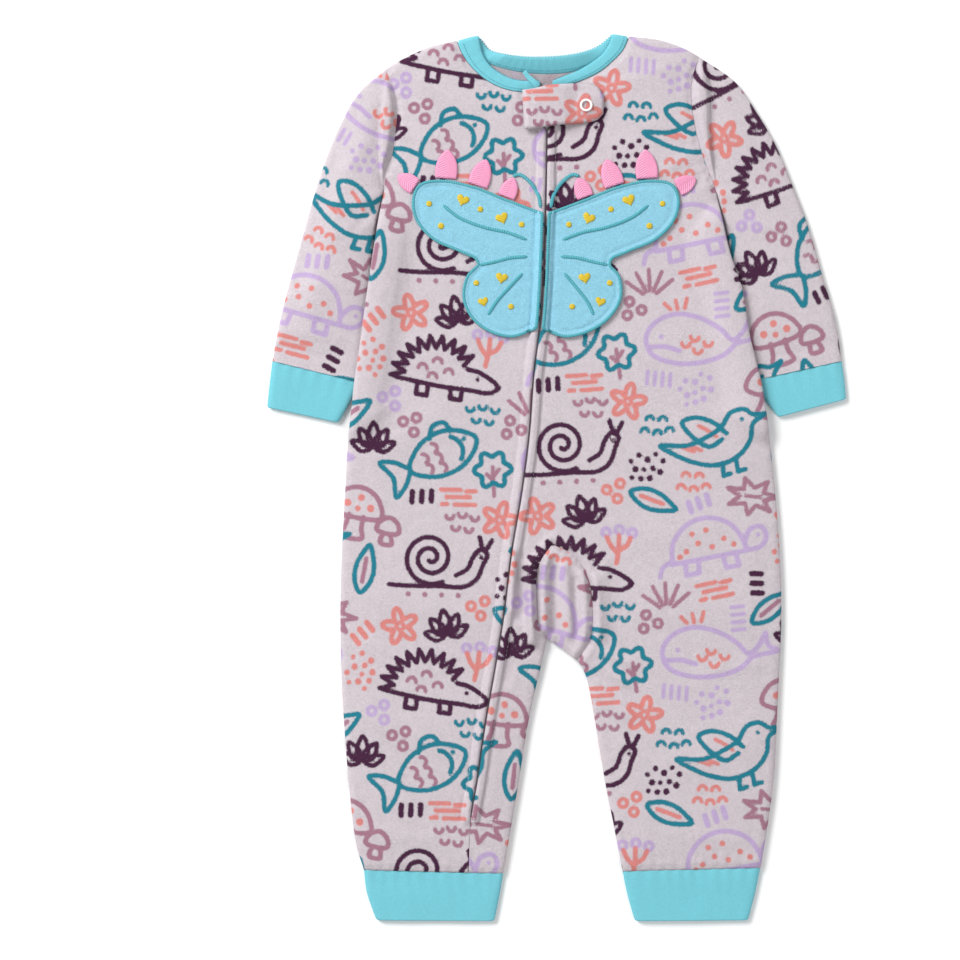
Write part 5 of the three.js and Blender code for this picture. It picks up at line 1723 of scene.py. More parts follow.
@dataclass
class FlatTube:
    """A tube of cloth laid flat, open at both ends.

    It is given by a function that places shares of each ring's width, by these widths, by the
    distance between its even columns, by the cloth's thickness, and by the share of it at the hem.
    """

    spots: Callable[[Array], Array]
    widths: Array
    pitch: float
    thick: float
    hem: float = 1.0

    CLOSE_COLUMNS = 11.0
    NEXT_CORNERS = [1, 0, 3, 2]

    def __post_init__(self) -> None:
        """Places its rings' columns."""
        count = math.ceil((self.widths.max() - self.CLOSE_COLUMNS) / self.pitch)
        self.shares = fine_shares(self.widths, SIDE_STEPS, SIDE_STEPS, count)

    def mesh(self, rise: Callable[[Array], Array], fine: Callable[[Array], Array]) -> Mesh:
        """Makes the tube.

        Args:
            rise: The extra height of the whole upper layer at flat points.
            fine: The fine unevenness of the outer upper side.

        Returns:
            The closed shell: for each ring the outer loop and then the inner one.
        """
        rows, columns = self.shares.shape
        half = self.thick + HALF_GAP
        away = np.minimum(self.shares, 1 - self.shares) * self.widths[:, None]
        margin = self.thick / self.widths[:, None]
        rings, lined = self.spots(self.shares), self.spots(margin + (1 - 2 * margin) * self.shares)
        hem = np.ones((rows, 1))
        hem[-1] = self.hem
        if self.hem < 1:
            hem[-2] = 0.5 + 0.5 * self.hem
        thick = half * rounded(away) * hem
        flat = rings.reshape(-1, 2)
        lifted = (rise(flat) + fine(flat) * smooth(away.ravel() / 3)).reshape(rows, columns)
        inner_lift = rise(lined.reshape(-1, 2)).reshape(rows, columns)
        loops = [
            (rings, half + thick + lifted), (rings[:, ::-1], (half - thick)[:, ::-1]),
            (lined, half + HALF_GAP + inner_lift),
            (lined[:, ::-1], np.full((rows, columns), half - HALF_GAP)),
        ]
        points = np.concatenate([np.dstack([spots, z]) for spots, z in loops], axis=1)
        size = 2 * columns
        ids = np.arange(rows * 2 * size).reshape(rows, 2, size)
        faces = [
            lattice(ids[:, 0]), lattice(ids[:, 1])[:, self.NEXT_CORNERS],
            lattice(ids[0])[:, self.NEXT_CORNERS], lattice(ids[-1]),
        ]
        return right_way_out(Mesh(points.reshape(-1, 3), faces))


@dataclass
class Sleeve:
    """A printed fleece sleeve that lies with its inner strip under the body."""

    shop: Workshop
    side: str
    cut: Place
    creases: Folds
    area: float
    loft: float
    pitch: float = 1.7
    head_rise: float = 4.6
    head_run: float = 5.5
    drop_run: float = 2.6
    loft_run: float = 10.0
    loft_edge: float = 22.0
    seam_dip: float = 0.8
    seam_run: float = 5.0
    armhole_gap: float = 0.02
    bow_fade: int = 12

    # Where the puffed strip beside the armhole ends, from the underarm up
    DROP = {
        "left": [[-125, 209], [-127, 229], [-126, 265], [-122.8, 288], [-123.5, 300]],
        "right": [[115, 209], [112.5, 224], [109.4, 253], [109.3, 274], [107.5, 290], [103, 306]],
    }
    # Sections across the sleeve from the armhole to the cuff: outer x, y, and under x, y
    SECTIONS = {
        "left": [
            [-123.5, 294, -124.5, 208.5], [-143, 277, -127.6, 195.5], [-156, 254, -130, 181],
            [-168.5, 223.5, -132.2, 164], [-179, 189, -132.8, 142], [-189, 153, -134.8, 120.5],
            [-197, 123.5, -137, 99], [-203, 95.5, -140, 79], [-205, 84, -141, 68.5],
        ],
        "right": [
            [102.5, 303.5, 114.5, 208.5], [129, 285, 118.1, 196], [143.5, 264.5, 121.7, 181],
            [157, 241.5, 124.8, 164], [169.5, 212, 127.5, 142], [181, 182, 130.8, 122],
            [191.5, 146, 135.5, 102.5], [201, 113.5, 139.5, 86], [205.5, 84, 141.5, 70],
        ],
    }

    def build(self) -> None:
        """Makes the sleeve."""
        table = np.array(self.SECTIONS[self.side], float)
        self.outer = Curve(table[:, :2])
        armhole = self.shop.form.edges[f"armhole_{self.side}"]
        away = -1 if self.side == "left" else 1
        rows = np.concatenate([[0, 0.004, 0.012, 0.03], np.linspace(0.06, 7.94, 128), [7.97, 7.99, 8]])
        a, b = self.outer.at_row(rows), Curve(table[:, 2:]).at_row(rows)
        fade = ((1 - rows / rows[-1]) ** self.bow_fade)[:, None, None]

        def spots(share: Array) -> Array:
            """Places columns across the rings.

            Args:
                share: The columns' shares of the rings' widths.

            Returns:
                Their places.
            """
            s = share[:, :, None]
            bow = armhole.at(1 - share) - (armhole.at(1.0) * (1 - s) + armhole.at(0.0) * s)
            return a[:, None] * (1 - s) + b[:, None] * s + (bow + (away * self.armhole_gap, 0)) * fade

        tube = FlatTube(spots, widths(a, b), self.pitch, SLEEVE_WALL)
        mesh = tube.mesh(self.rise, self.fine)
        inside = np.tile(np.repeat([0.0, 1.0], 2 * tube.shares.shape[1]), len(rows))
        mesh = self.shop.inked(mesh, inside, self.cut)
        node = f"sleeve_{self.side}"
        cut = Cut((0.205, 0.228), self.area)
        self.shop.place(f"{node}_fleece", mesh, Materials.FLEECE, Slot.FLEECE, [node], cut)

    def rise(self, points: Array) -> Array:
        """Measures the upper layer's rise.

        Args:
            points: Flat points.

        Returns:
            The rise at each point: a puffed strip along the armhole, then a slow climb.
        """
        edges = self.shop.form.edges
        from_seam = to_line(points, edges[f"armhole_{self.side}"].chain, 40)[0]
        strip_end = Curve(self.DROP[self.side]).x_at(points[:, 1])
        body_end = edges[f"side_{self.side}"].x_at(points[:, 1])
        above = points[:, 1] > UNDERARM_Y
        clear = (np.where(above, strip_end, body_end) - points[:, 0]) * (1 if self.side == "left" else -1)
        strip = self.head_rise * smooth(from_seam / self.head_run) * (1 - smooth(clear / self.drop_run + 0.5))
        from_edge = to_line(points, self.outer.chain, 40)[0]
        climb = self.loft * (1 - np.exp(-np.maximum(clear, 0) / self.loft_run)) * smooth(from_edge / self.loft_edge)
        return strip * smooth((points[:, 1] - 206) / 8) + climb * smooth((points[:, 1] - 84) / 50)

    def fine(self, points: Array) -> Array:
        """Measures the fine unevenness.

        Args:
            points: Flat points.

        Returns:
            The dip at the seam, the creases and the pile at each point.
        """
        nap = self.shop.nap
        away = to_line(points, self.shop.form.edges[f"armhole_{self.side}"].chain, 10)[0]
        dip = self.seam_dip * (1 - smooth(away / self.seam_run))
        return self.creases.height(points) + nap.pile(points) + nap.puckers(points) - dip


@dataclass
class Cuff:
    """A doubled aqua jersey cuff."""

    shop: Workshop
    name: str
    cut: Cut
    pitch: float = 1.3
    corner: float = 1.8
    hem: float = 0.6

    # Sections from the seam to the hem: left x, y, and right x, y
    SECTIONS = {
        "sleeve_left": [[-205.1, 83.97, -141.0, 68.47], [-207.3, 66, -148, 56], [-208.9, 50.5, -157.5, 39.5]],
        "sleeve_right": [[141.5, 69.97, 205.6, 83.97], [149, 58, 207.6, 70], [160, 43.5, 208.9, 56.5]],
        "leg_left": [[-139, -283.03, -38.6, -285.53], [-137, -299, -41.5, -302.5], [-130, -319.5, -45, -320]],
        "leg_right": [[47.6, -284.03, 146.9, -281.53], [51, -300.5, 143.2, -299.5], [56.5, -320, 138, -319.5]],
    }

    def build(self) -> None:
        """Makes the cuff."""
        table = np.array(self.SECTIONS[self.name], float)
        left, right = Curve(table[:, :2]), Curve(table[:, 2:])
        rows = np.concatenate([[0, 0.006, 0.02, 0.045], np.linspace(0.08, 1.9, 25), [1.93, 1.955, 1.975, 1.99, 2.0]])
        a, b = left.at_row(rows), right.at_row(rows)
        width = widths(a, b)
        corner = self.corner * (1 - np.sqrt(1 - np.clip((rows - 1.9) / 0.1, 0, 1) ** 2)) / width

        def spots(share: Array) -> Array:
            """Gives the places across the rings at shares of their widths."""
            kept = (corner[:, None] + (1 - 2 * corner[:, None]) * share)[:, :, None]
            return a[:, None] * (1 - kept) + b[:, None] * kept

        tube = FlatTube(spots, width, self.pitch, CUFF_WALL, self.hem)
        seam = np.array([a[0], b[0]])
        mesh = tube.mesh(lambda points: np.zeros(len(points)), lambda points: self.fine(points, seam))
        node = f"cuff_{self.name}"
        self.shop.place(f"{node}_jersey", mesh, Materials.TRIM, Slot.TRIM, [node], self.cut)

    def fine(self, points: Array, seam: Array) -> Array:
        """Measures the fine unevenness.

        Args:
            points: Flat points.
            seam: The seam's two ends.

        Returns:
            The gathers that run from the seam, and a soft unevenness, at each point.
        """
        away, along = to_line(points, seam)
        noise = self.shop.nap.noise
        gathers = 0.28 * np.sin(2 * math.pi * along / 9.5 + 2.4 * noise.at(points, 26)) * np.exp(-away / 9)
        return gathers - 0.2 * np.exp(-away / 1.6) + 0.3 * noise.at(points + 19, 15)


class Thread:
    """Sewing threads that show on the cloth, as small rounded stitches."""

    SIDES = 6

    @staticmethod
    def stitches(starts: Array, ends: Array, radius: float) -> Mesh:
        """Makes a stitch from each start to its end.

        Args:
            starts: The stitches' first ends.
            ends: Their other ends.
            radius: The thread's radius.

        Returns:
            One mesh of all the stitches.
        """
        step = ends - starts
        ahead = step / np.linalg.norm(step, axis=1)[:, None]
        aside = np.cross(ahead, (0, 0, 1.0))
        aside /= np.maximum(np.linalg.norm(aside, axis=1), 1e-9)[:, None]
        up = np.cross(aside, ahead)
        around = circle(Thread.SIDES)[:, None]
        rings = []
        for share, size in ((0.0, 0.3), (0.14, 0.9), (0.86, 0.9), (1.0, 0.3)):
            middle = starts + step * share + up * radius * (1 - abs(2 * share - 1)) * 0.6
            spoke = aside[:, None] * np.cos(around) + up[:, None] * np.sin(around)
            rings.append(middle[:, None] + radius * size * spoke)
        points = np.stack(rings, axis=1)
        ids = np.arange(points.size // 3).reshape(points.shape[:3])
        return right_way_out(Mesh(points.reshape(-1, 3), [lattice(ids), ids[:, 0, ::-1], ids[:, -1]]))

    @staticmethod
    def seam(path: Array, pitch: float, radius: float, share: float = 0.72) -> Mesh:
        """Makes a straight seam's stitches along a path.

        Args:
            path: The path's points.
            pitch: The stitches' pitch.
            radius: The thread's radius.
            share: How much of the pitch a stitch takes.

        Returns:
            One mesh of all the stitches.
        """
        run = travelled(path)
        starts = np.arange(0, run[-1] - pitch, pitch)
        return Thread.stitches(sampled(path, run, starts), sampled(path, run, starts + share * pitch), radius)


@dataclass
class Zip:
    """The zip's coil, the lines of sewing beside it, and its turned-back tape end."""

    shop: Workshop
    coil_pitch: float = 1.45
    coil_reach: float = 1.1
    coil_rise: float = 2.15
    coil_wire: float = 0.42
    line_from_edge: float = 5.9
    line_top: float = 249.0
    stitch: float = 3.1

    # The line of sewing across the zip's foot, and the middle of the turned-back tape end
    FOOT = (-61.8, -245.4), (-37.6, -247.2)
    TAPE_END = [(-23.5, 292.5), (-20.5, 288.5), (-16.5, 285), (-13.2, 281)]
    TAPE_ASIDE = np.array([0.75, 0.66])
    TAPE_Z, TAPE_THICK = 6.55, 0.9

    def build(self) -> None:
        """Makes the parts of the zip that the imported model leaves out."""
        self.coil()
        self.lines()
        self.tape_end()

    def on_cloth(self, flat: Array, above: float) -> Array:
        """Gives points just above the fronts' cloth."""
        return np.column_stack([flat, self.shop.cloth_top(flat) + above])

    def coil(self) -> None:
        """Makes the coil's teeth, in pairs from both sides."""
        y = np.arange(ZIP_BOTTOM + 3, ZIP_TOP - 3, self.coil_pitch)
        spot = np.column_stack([self.shop.form.zip.x_at(y), y])
        height = SEAM_Z + self.coil_rise + Lie(self.shop.form, spot).lift
        starts = np.column_stack([spot - (self.coil_reach, 0), height])
        ends = np.column_stack([spot + (self.coil_reach, 0.35), height])
        shift = np.array([0, self.coil_pitch / 2, 0.12])
        both = np.vstack([starts, ends + shift]), np.vstack([ends, starts + shift])
        self.shop.place("zip_coil", Thread.stitches(*both, self.coil_wire), Materials.COIL, Slot.TAPE)

    def lines(self) -> None:
        """Makes the two lines of sewing along the zip, and the one across its foot."""
        form = self.shop.form
        lines = []
        y = np.linspace(ZIP_BOTTOM + 1, self.line_top, 700)
        for side in (-1, 1):
            flat = form.zip_edge(side, y) + (side * self.line_from_edge, 0)
            lines.append(Thread.seam(self.on_cloth(flat, -0.09), self.stitch, 0.17))
        flat = np.linspace(*self.FOOT, 30)
        lines.append(Thread.seam(self.on_cloth(flat, 0.1), 2.4, 0.3))
        self.shop.place("zip_stitches", gathered(lines), Materials.PALE_THREAD, Slot.FLEECE)

    def tape_end(self) -> None:
        """Makes the tape's end that is turned back at the neck."""
        path = spline(self.TAPE_END, steps=5)
        half = np.linspace(1.6, 2.2, len(path))[:, None]
        first, second = path - half * self.TAPE_ASIDE, path + half * self.TAPE_ASIDE
        net = Net().block(first, second, np.tile(np.linspace(0, 1, 9), (len(path), 1)))
        points, cells = net.joined()
        low = self.TAPE_Z + 0.15 * np.sin(points[:, 0] * 0.7)
        mesh = wall(points, cells, low + self.TAPE_THICK, low)
        self.shop.place("zip_tape_end", mesh, Materials.TRIM, Slot.TRIM)


@dataclass
class NeckBand:
    """The doubled jersey band round the neck, with its sewing and its scalloped free edge."""

    shop: Workshop
    gap: float = 0.3
    fold_share: float = 0.9
    side_length: float = 72.0
    rows: int = 62
    turns: int = 10
    lean: float = 5.5
    seam_share: float = 0.24

    # Pitch and radius of the sewing's stitches and of the scallops' loops
    STITCH, SCALLOP = (2.3, 0.24), (2.1, 0.5)

    def aside(self, edge: Curve, share: float, sign: int) -> Array:
        """Gives a point just off an edge.

        Args:
            edge: The edge.
            share: The share of its length.
            sign: 1 for its left side and -1 for its right side.

        Returns:
            The point.
        """
        before, after = edge.at(max(share - 0.02, 0.0)), edge.at(min(share + 0.02, 1.0))
        along = (after - before) / np.hypot(*(after - before))
        return edge.at(share) + sign * self.gap * np.array([-along[1], along[0]])

    def rails(self) -> tuple[Array, Array]:
        """Lays the band's two edges.

        Returns:
            The points of its seam edge and of its free edge: left front, back, right front.
        """
        edges = self.shop.form.edges
        front_z = SEAM_Z + 2 * HALF_GAP + BAND_THICK / 2
        back_z = BAND_THICK / 2
        radius = (front_z - back_z) / 2
        near = 1 - (radius + BAND_THICK / 2) / self.side_length
        seam: list[Array] = []
        free: list[Array] = []

        def front(name: str, sign: int, shares: Array) -> None:
            """Adds the part of the band on one front.

            Args:
                name: left or right.
                sign: The edge's side that the band is on.
                shares: Shares of the edge's length.
            """
            for share in shares:
                seam.append(np.array([*self.aside(edges[f"neck_front_{name}"], share, sign), front_z]))
                free.append(np.array([*edges[f"band_front_{name}"].at(share), front_z]))

        def fold(name: str, sign: int, back_share: float, angles: Array) -> None:
            """Adds the turn over a shoulder, from the front to the back or the other way.

            Args:
                name: left or right.
                sign: The edge's side that the band is on.
                back_share: The share of the back's edge where the turn ends.
                angles: The angles of the turn's rows.
            """
            ends = [self.aside(edges[f"neck_front_{name}"], near, sign), edges[f"band_front_{name}"].at(near)]
            backs = [self.aside(edges["neck_back"], back_share, 1), edges["band_back"].at(back_share)]
            across = (ends[1] - ends[0]) * -sign
            outward = np.array([-across[1], across[0]]) / np.hypot(*across)
            for angle in angles:
                shift, z = outward * radius * math.sin(angle), back_z + radius + radius * math.cos(angle)
                spots = [a + (b - a) * angle / math.pi + shift for a, b in zip(ends, backs)]
                seam.append(np.array([*spots[0], z]))
                free.append(np.array([*spots[1], z]))

        shares = np.linspace(0, self.fold_share, self.rows)
        angles = np.linspace(0, math.pi, self.turns)
        back_end = (radius + BAND_THICK / 2) / (2 * self.side_length)
        front("left", -1, shares)
        fold("left", -1, back_end, angles)
        for share in np.linspace(0.1, 0.9, 2 * self.rows):
            lean = self.lean * float(smooth(min(share - 0.1, 0.9 - share) / 0.16))
            seam.append(np.array([*self.aside(edges["neck_back"], share, 1), back_z]))
            free.append(np.array([*edges["band_back"].at(share), back_z + lean]))
        fold("right", 1, 1 - back_end, angles[::-1])
        front("right", 1, shares[::-1])
        return np.array(seam), np.array(free)

    def build(self) -> None:
        """Makes the band, its topstitch and its scallops."""
        seam, free = self.rails()
        across = free - seam
        middle = (seam + free) / 2
        ahead = np.gradient(middle, axis=0)
        normal = np.cross(across, ahead)
        normal /= np.linalg.norm(normal, axis=1)[:, None]
        around = circle(20)
        w = 0.5 - 0.5 * np.sign(np.cos(around)) * np.abs(np.cos(around)) ** 0.55
        h = 0.5 * np.sign(np.sin(around)) * np.abs(np.sin(around)) ** 0.75
        groove = -0.07 * bell((w - self.seam_share) / 0.07) * (h > 0.1)
        ripple = 0.1 * np.sin(np.arange(len(seam)) * 0.9)[:, None] * (np.abs(h) > 0.3)
        lift = BAND_THICK * (h + groove) + ripple * np.sign(h) * 0.6
        points = seam[:, None] + across[:, None] * w[:, None] + normal[:, None] * lift[..., None]
        ids = np.arange(points.size // 3).reshape(points.shape[:2])
        points[..., 2] = np.maximum(points[..., 2], 0)
        mesh = right_way_out(Mesh(points.reshape(-1, 3), [lattice(ids), ids[:1, ::-1], ids[-1:]]))
        cut = Cut((0.013, 0.306), 0.0030, ("back_fleece", "front_left_fleece", "front_right_fleece"))
        self.shop.place("neck_band_jersey", mesh, Materials.TRIM, Slot.TRIM, ["neck_band"], cut)
        upward = normal * np.sign(normal[:, 2:] + 1e-6)
        top = seam + across * self.seam_share + upward * (BAND_THICK / 2 - 0.02)
        keep = np.abs(normal[:, 2]) > 0.8
        lines = [Thread.seam(top[part], *self.STITCH) for part in self.runs(keep)]
        lines += [self.scallops(free[part], across[part]) for part in self.runs(keep)]
        self.shop.place("neck_band_stitches", gathered(lines), Materials.AQUA_THREAD, Slot.TRIM)

    @staticmethod
    def runs(keep: NDArray[np.bool_]) -> list[slice]:
        """Gives the stretches of neighbouring rows that are kept."""
        marks = np.flatnonzero(np.diff(np.concatenate([[False], keep, [False]]).astype(int)))
        return [slice(a, b) for a, b in zip(marks[::2], marks[1::2]) if b - a > 3]

    def scallops(self, free: Array, across: Array) -> Mesh:
        """Makes the small loops of thread along the free edge.

        Args:
            free: The edge's points.
            across: The steps from the seam to these points.

        Returns:
            One mesh of all the loops.
        """
        run = travelled(free)
        pitch, radius = self.SCALLOP
        at = np.arange(1, run[-1] - 1, pitch)
        spot, out = sampled(free, run, at), sampled(across, run, at)
        out /= np.linalg.norm(out, axis=1)[:, None]
        return Thread.stitches(spot - 0.7 * out, spot + 0.8 * out, radius)


@dataclass
class ZipTab:
    """The printed tab over the top of the zip, with its snap."""

    shop: Workshop
    flat_reach: float = 9.0
    fall: float = 16.0
    over_zip: float = 3.4
    clear: float = 0.35
    roll_run: float = 2.6
    snap: tuple[float, float] = (21.0, 267.5)
    stud_radius: float = 3.4
    stud_height: float = 1.5
    stud_room: float = 9.0
    fold_x: float = -17.9
    fold_depth: float = 0.6
    press: float = 0.7
    press_run: float = 6.5
    cut: Place = (186.0, 36.0, 0.0)

    LOWER = [[-23.5, 250.5], [-17, 250.8], [1, 253.5], [19, 255], [29, 257.5], [33.5, 262]]
    UPPER = [[-25, 279], [-17, 279.8], [-8, 282], [3, 283], [19, 283.5], [29, 281.5], [34, 274]]
    FOLD_LINE = (-17.6, 252.2), (-18.2, 278.6)
    # Radius and height of the ring's points
    RING = [(2.9, 0), (2.95, 0.5), (3.2, 0.9), (3.75, 1.0), (4.3, 0.85), (4.6, 0.4), (4.58, 0.0)]
    RING_SIDES = 48

    def bottom(self, points: Array) -> Array:
        """Measures the tab's underside.

        Args:
            points: Flat points.

        Returns:
            Its height at each point.
        """
        from_zip = np.abs(points[:, 0] - self.shop.form.zip.x_at(points[:, 1]))
        zip_rise = self.over_zip * (1 - smooth((from_zip - self.flat_reach) / self.fall))
        from_stud = np.hypot(*(points - self.snap).T) - self.stud_radius
        stud_rise = (self.stud_height + self.clear) * (1 - smooth(from_stud / self.stud_room))
        return 2 * SEAM_Z + Form.LOFT + self.clear + np.maximum(zip_rise, stud_rise)

    def top(self, points: Array) -> Array:
        """Measures the tab's upper side.

        Args:
            points: Flat points.

        Returns:
            Its height at each point.
        """
        lower, upper = Curve(self.LOWER), Curve(self.UPPER)
        ends = [np.array([lower.at(u), upper.at(u)]) for u in (0.0, 1.0)]
        away = nearest(points, [lower.chain, upper.chain, *ends], RIM_REACH)
        noise = self.shop.nap.noise
        fold = -self.fold_depth * bell((points[:, 0] - self.fold_x) / 0.9)
        press = -self.press * bell(np.hypot(*(points - self.snap).T) / self.press_run)
        soft = 0.3 * noise.at(points + 5, 11) + 0.12 * noise.at(points, 3.1)
        thick = TAB_THICK * rounded(away, self.roll_run)
        return self.bottom(points) + thick + (fold + press + soft) * smooth(away / 3)

    def build(self) -> None:
        """Makes the tab, its fold line and its snap ring."""
        lower, upper = Curve(self.LOWER), Curve(self.UPPER)
        first, second = upper.part(0, 1, 60), lower.part(0, 1, 60)
        net = Net().block(first, second, fine_shares(widths(first, second), FEW_STEPS, FEW_STEPS, 20))
        points, cells = net.joined()
        mesh = wall(points, cells, self.top(points), self.bottom(points))
        mesh = self.shop.inked(mesh, np.zeros(len(mesh.points)), self.cut)
        cut = Cut((0.062, 0.030), 0.0015, ("front_left_fleece", "front_right_fleece"))
        self.shop.place("zip_tab_fleece", mesh, Materials.FLEECE, Slot.FLEECE, ["zip_tab"], cut)
        line = np.linspace(*self.FOLD_LINE, 20)
        stitches = Thread.seam(np.column_stack([line, self.top(line) + 0.15]), 2.6, 0.28)
        self.shop.place("zip_tab_stitches", stitches, Materials.PALE_THREAD, Slot.FLEECE)
        self.ring()

    def ring(self) -> None:
        """Makes the snap's open ring."""
        base = float(self.bottom(np.array([self.snap]))[0]) + TAB_THICK + 0.35
        out, up = spline(self.RING, steps=4).T
        around = circle(self.RING_SIDES)[:, None]
        x, y = self.snap[0] + out * np.cos(around), self.snap[1] + out * np.sin(around)
        points = np.dstack([x, y, np.broadcast_to(base + up, x.shape)])
        ids = np.arange(x.size).reshape(x.shape)
        mesh = right_way_out(Mesh(points.reshape(-1, 3), [lattice(np.vstack([ids, ids[:1]]))]))
        self.shop.place("snap_ring_cap", mesh, Materials.METAL, Slot.METAL, ["snap_ring"])


class SatinStrip:
    """Satin stitch along a line: a raised strip of threads that lie across it."""

    def __init__(self, path: Array, half: float, height: float, closed: bool = False) -> None:
        """Takes the line.

        Args:
            path: The line's points on the cloth.
            half: Half the strip's width.
            height: How high the strip stands over the line.
            closed: Whether the line's ends meet.
        """
        self.path, self.half, self.height, self.closed = path, half, height, closed

    def mesh(self) -> Mesh:
        """Makes the strip.

        Returns:
            The strip, with its threads' places.
        """
        path, rows = self.path, len(self.path)
        ahead = np.gradient(path, axis=0)
        if self.closed:
            ahead = np.roll(path, -1, axis=0) - np.roll(path, 1, axis=0)
        ahead[:, 2] = 0
        ahead /= np.linalg.norm(ahead, axis=1)[:, None]
        aside = np.cross(ahead, (0, 0, 1.0))
        taper = np.ones(rows)
        if not self.closed:
            ends = np.minimum(np.arange(rows), np.arange(rows)[::-1]) / 2.5
            taper = np.sqrt(np.clip(ends + 0.12, 0.12, 1))
        around = np.linspace(0, math.pi, 9)
        over = np.stack([np.cos(around), np.sin(around) ** 0.7 * self.height], -1)
        section = np.vstack([over, [[-0.9, -0.5], [0.9, -0.5]]])
        points = path[:, None] + aside[:, None] * (section[:, 0] * self.half)[:, None] * taper[:, None, None]
        points[..., 2] += section[:, 1] * taper[:, None]
        thread = np.zeros(points.shape)
        thread[..., 0] = travelled(path)[:, None]
        ids = np.arange(points.size // 3).reshape(points.shape[:2])
        ends = [lattice(ids[[-1, 0]])] if self.closed else [ids[:1, ::-1], ids[-1:]]
        mesh = right_way_out(Mesh(points.reshape(-1, 3), [lattice(ids), *ends]))
        mesh.values["thread"] = thread.reshape(-1, 3)
        return mesh


@dataclass
class Butterfly:
    """The applique over the zip: two aqua wings with satin edges, petals, hearts and feelers."""

    shop: Workshop
    on_cloth: float = 0.55
    inset: float = 1.2
    roll_run: float = 1.8
    inner: tuple[float, float] = (-60.0, 24.0)
    rows: int = 150
    columns: int = 62
    petal_roll: float = 1.1
    # Where the edge's stitches press the wing down, how wide and how deep
    press_at: float = 4.2
    press_half: float = 1.3
    press: float = 0.5

    # Half of its outline, as reach from the zip and height above its middle
    OUTLINE = [
        [9, -63], [18, -66], [34, -63], [49, -53], [57, -38], [55, -22], [47.5, -12], [60, -5],
        [80, 4], [93, 18], [96, 33], [91, 44], [75, 47], [52, 42.5], [30, 34], [9, 26],
    ]
    # Satin lines on each wing
    LINES = [
        [(12, -8), (24, -9), (36, -12), (46, -14)],
        [(13, 4), (26, 9), (44, 13), (62, 20), (74, 29)],
        [(15, -20), (24, -30), (33, -41), (38, -50)],
    ]
    # Hearts and dots on each wing: reach, height, size and angle
    HEARTS = [(31, 19, 4.6, -20), (60, 32, 4.6, 20), (30, -24, 4.4, 10), (42, -41, 3.8, -15)]
    DOTS = [(17, 15, 2.1), (47, 26, 2.1), (75, 14, 2.3), (84, 30, 2.1), (22, -44, 2.1), (48, -27, 2.1)]
    # Petals: the place along the outline, length and half width
    PETALS = [[0.655, 15, 7], [0.742, 21, 9], [0.832, 20, 8.5], [0.918, 15, 7]]
    PETAL_COLUMNS = np.concatenate([[0, 0.02, 0.06, 0.13], np.linspace(0.2, 0.8, 11), [0.87, 0.94, 0.98, 1]])
    PETAL_ROWS = np.concatenate([np.linspace(0, 0.9, 20), [0.93, 0.96, 0.98, 0.992, 1.0]])
    # The feeler: reach and height
    FEELER = [3.6, 5.5, 11, 19, 24], [27, 36, 45, 51, 50]
    INNER_STEPS, OUTER_STEPS = [0, 0.5, 1.2, 2.2, 3.6], [0, 0.25, 0.7, 1.3, 2]
    # Half width and height of the satin strips
    LINE, EDGE, FEELER_STRIP = (1.15, 0.8), (1.1, 0.8), (1.3, 1.0)
    # Size and height of a dome's rings
    DOME = np.array([(1.0, -0.5), (1.0, 0.2), (0.86, 0.65), (0.6, 0.85), (0.3, 0.9)])

    def spot(self, side: int, reach: Array | float, rise: Array | float) -> Array:
        """Gives flat points from their reach from the zip and their height above the middle."""
        y = WING_Y + np.asarray(rise, float)
        return np.stack([self.shop.form.zip.x_at(y) + side * np.asarray(reach, float), y], axis=-1)

    def base(self, points: Array) -> Array:
        """Gives the height at which the wings lie on the cloth."""
        lie = Lie(self.shop.form, points)
        return lie.front_top() + self.shop.nap.broad(lie) + self.on_cloth

    def build(self) -> None:
        """Makes both halves."""
        for name, side in (("left", -1), ("right", 1)):
            self.wing(name, side)
            self.petals(name, side)

    def wing(self, name: str, side: int) -> None:
        """Makes a wing with its satin edge, lines, hearts and feeler.

        Args:
            name: left or right.
            side: -1 for the left wing and 1 for the right one.
        """
        shape = Curve(self.spot(side, *np.array(self.OUTLINE, float).T))
        inset = Form.ZIP_HALF_GAP + self.inset
        inner = self.spot(side, inset, np.linspace(*self.inner, self.rows + 1))
        outer = shape.part(0, 1, self.rows)
        shares = fine_shares(widths(inner, outer), self.INNER_STEPS, self.OUTER_STEPS, self.columns)
        points, cells = Net().block(inner, outer, shares).joined()
        rim = [shape.chain, inner, *(np.array([inner[k], outer[k]]) for k in (0, -1))]
        base = self.base(points)
        mesh = wall(points, cells, base + self.thickness(points, rim), base)
        cut = Cut((0.097, 0.113), 0.0064, (f"front_{name}_fleece",))
        self.shop.place(f"wing_{name}_fleece", mesh, Materials.WING, Slot.WING, [f"wing_{name}"], cut)
        self.edging(name, inner, outer)
        lines = [spline(self.spot(side, *np.array(line, float).T), steps=14) for line in self.LINES]
        strips = [SatinStrip(self.laid(line, rim), *self.LINE).mesh() for line in lines]
        self.shop.place(f"wing_{name}_lines", gathered(strips), Materials.OUTLINE, Slot.WING)
        domes = [self.dome(side, (x, y), self.heart(size), angle, rim) for x, y, size, angle in self.HEARTS]
        domes += [self.dome(side, (x, y), self.disc(radius), 0, rim) for x, y, radius in self.DOTS]
        self.shop.place(f"wing_{name}_hearts", gathered(domes), Materials.HEART, Slot.PETAL)
        feeler = spline(self.spot(side, *self.FEELER), steps=10)
        path = np.column_stack([feeler, self.shop.cloth_top(feeler) + 0.45])
        strip = SatinStrip(path, *self.FEELER_STRIP).mesh()
        self.shop.place(f"feeler_{name}", strip, Materials.OUTLINE, Slot.WING)

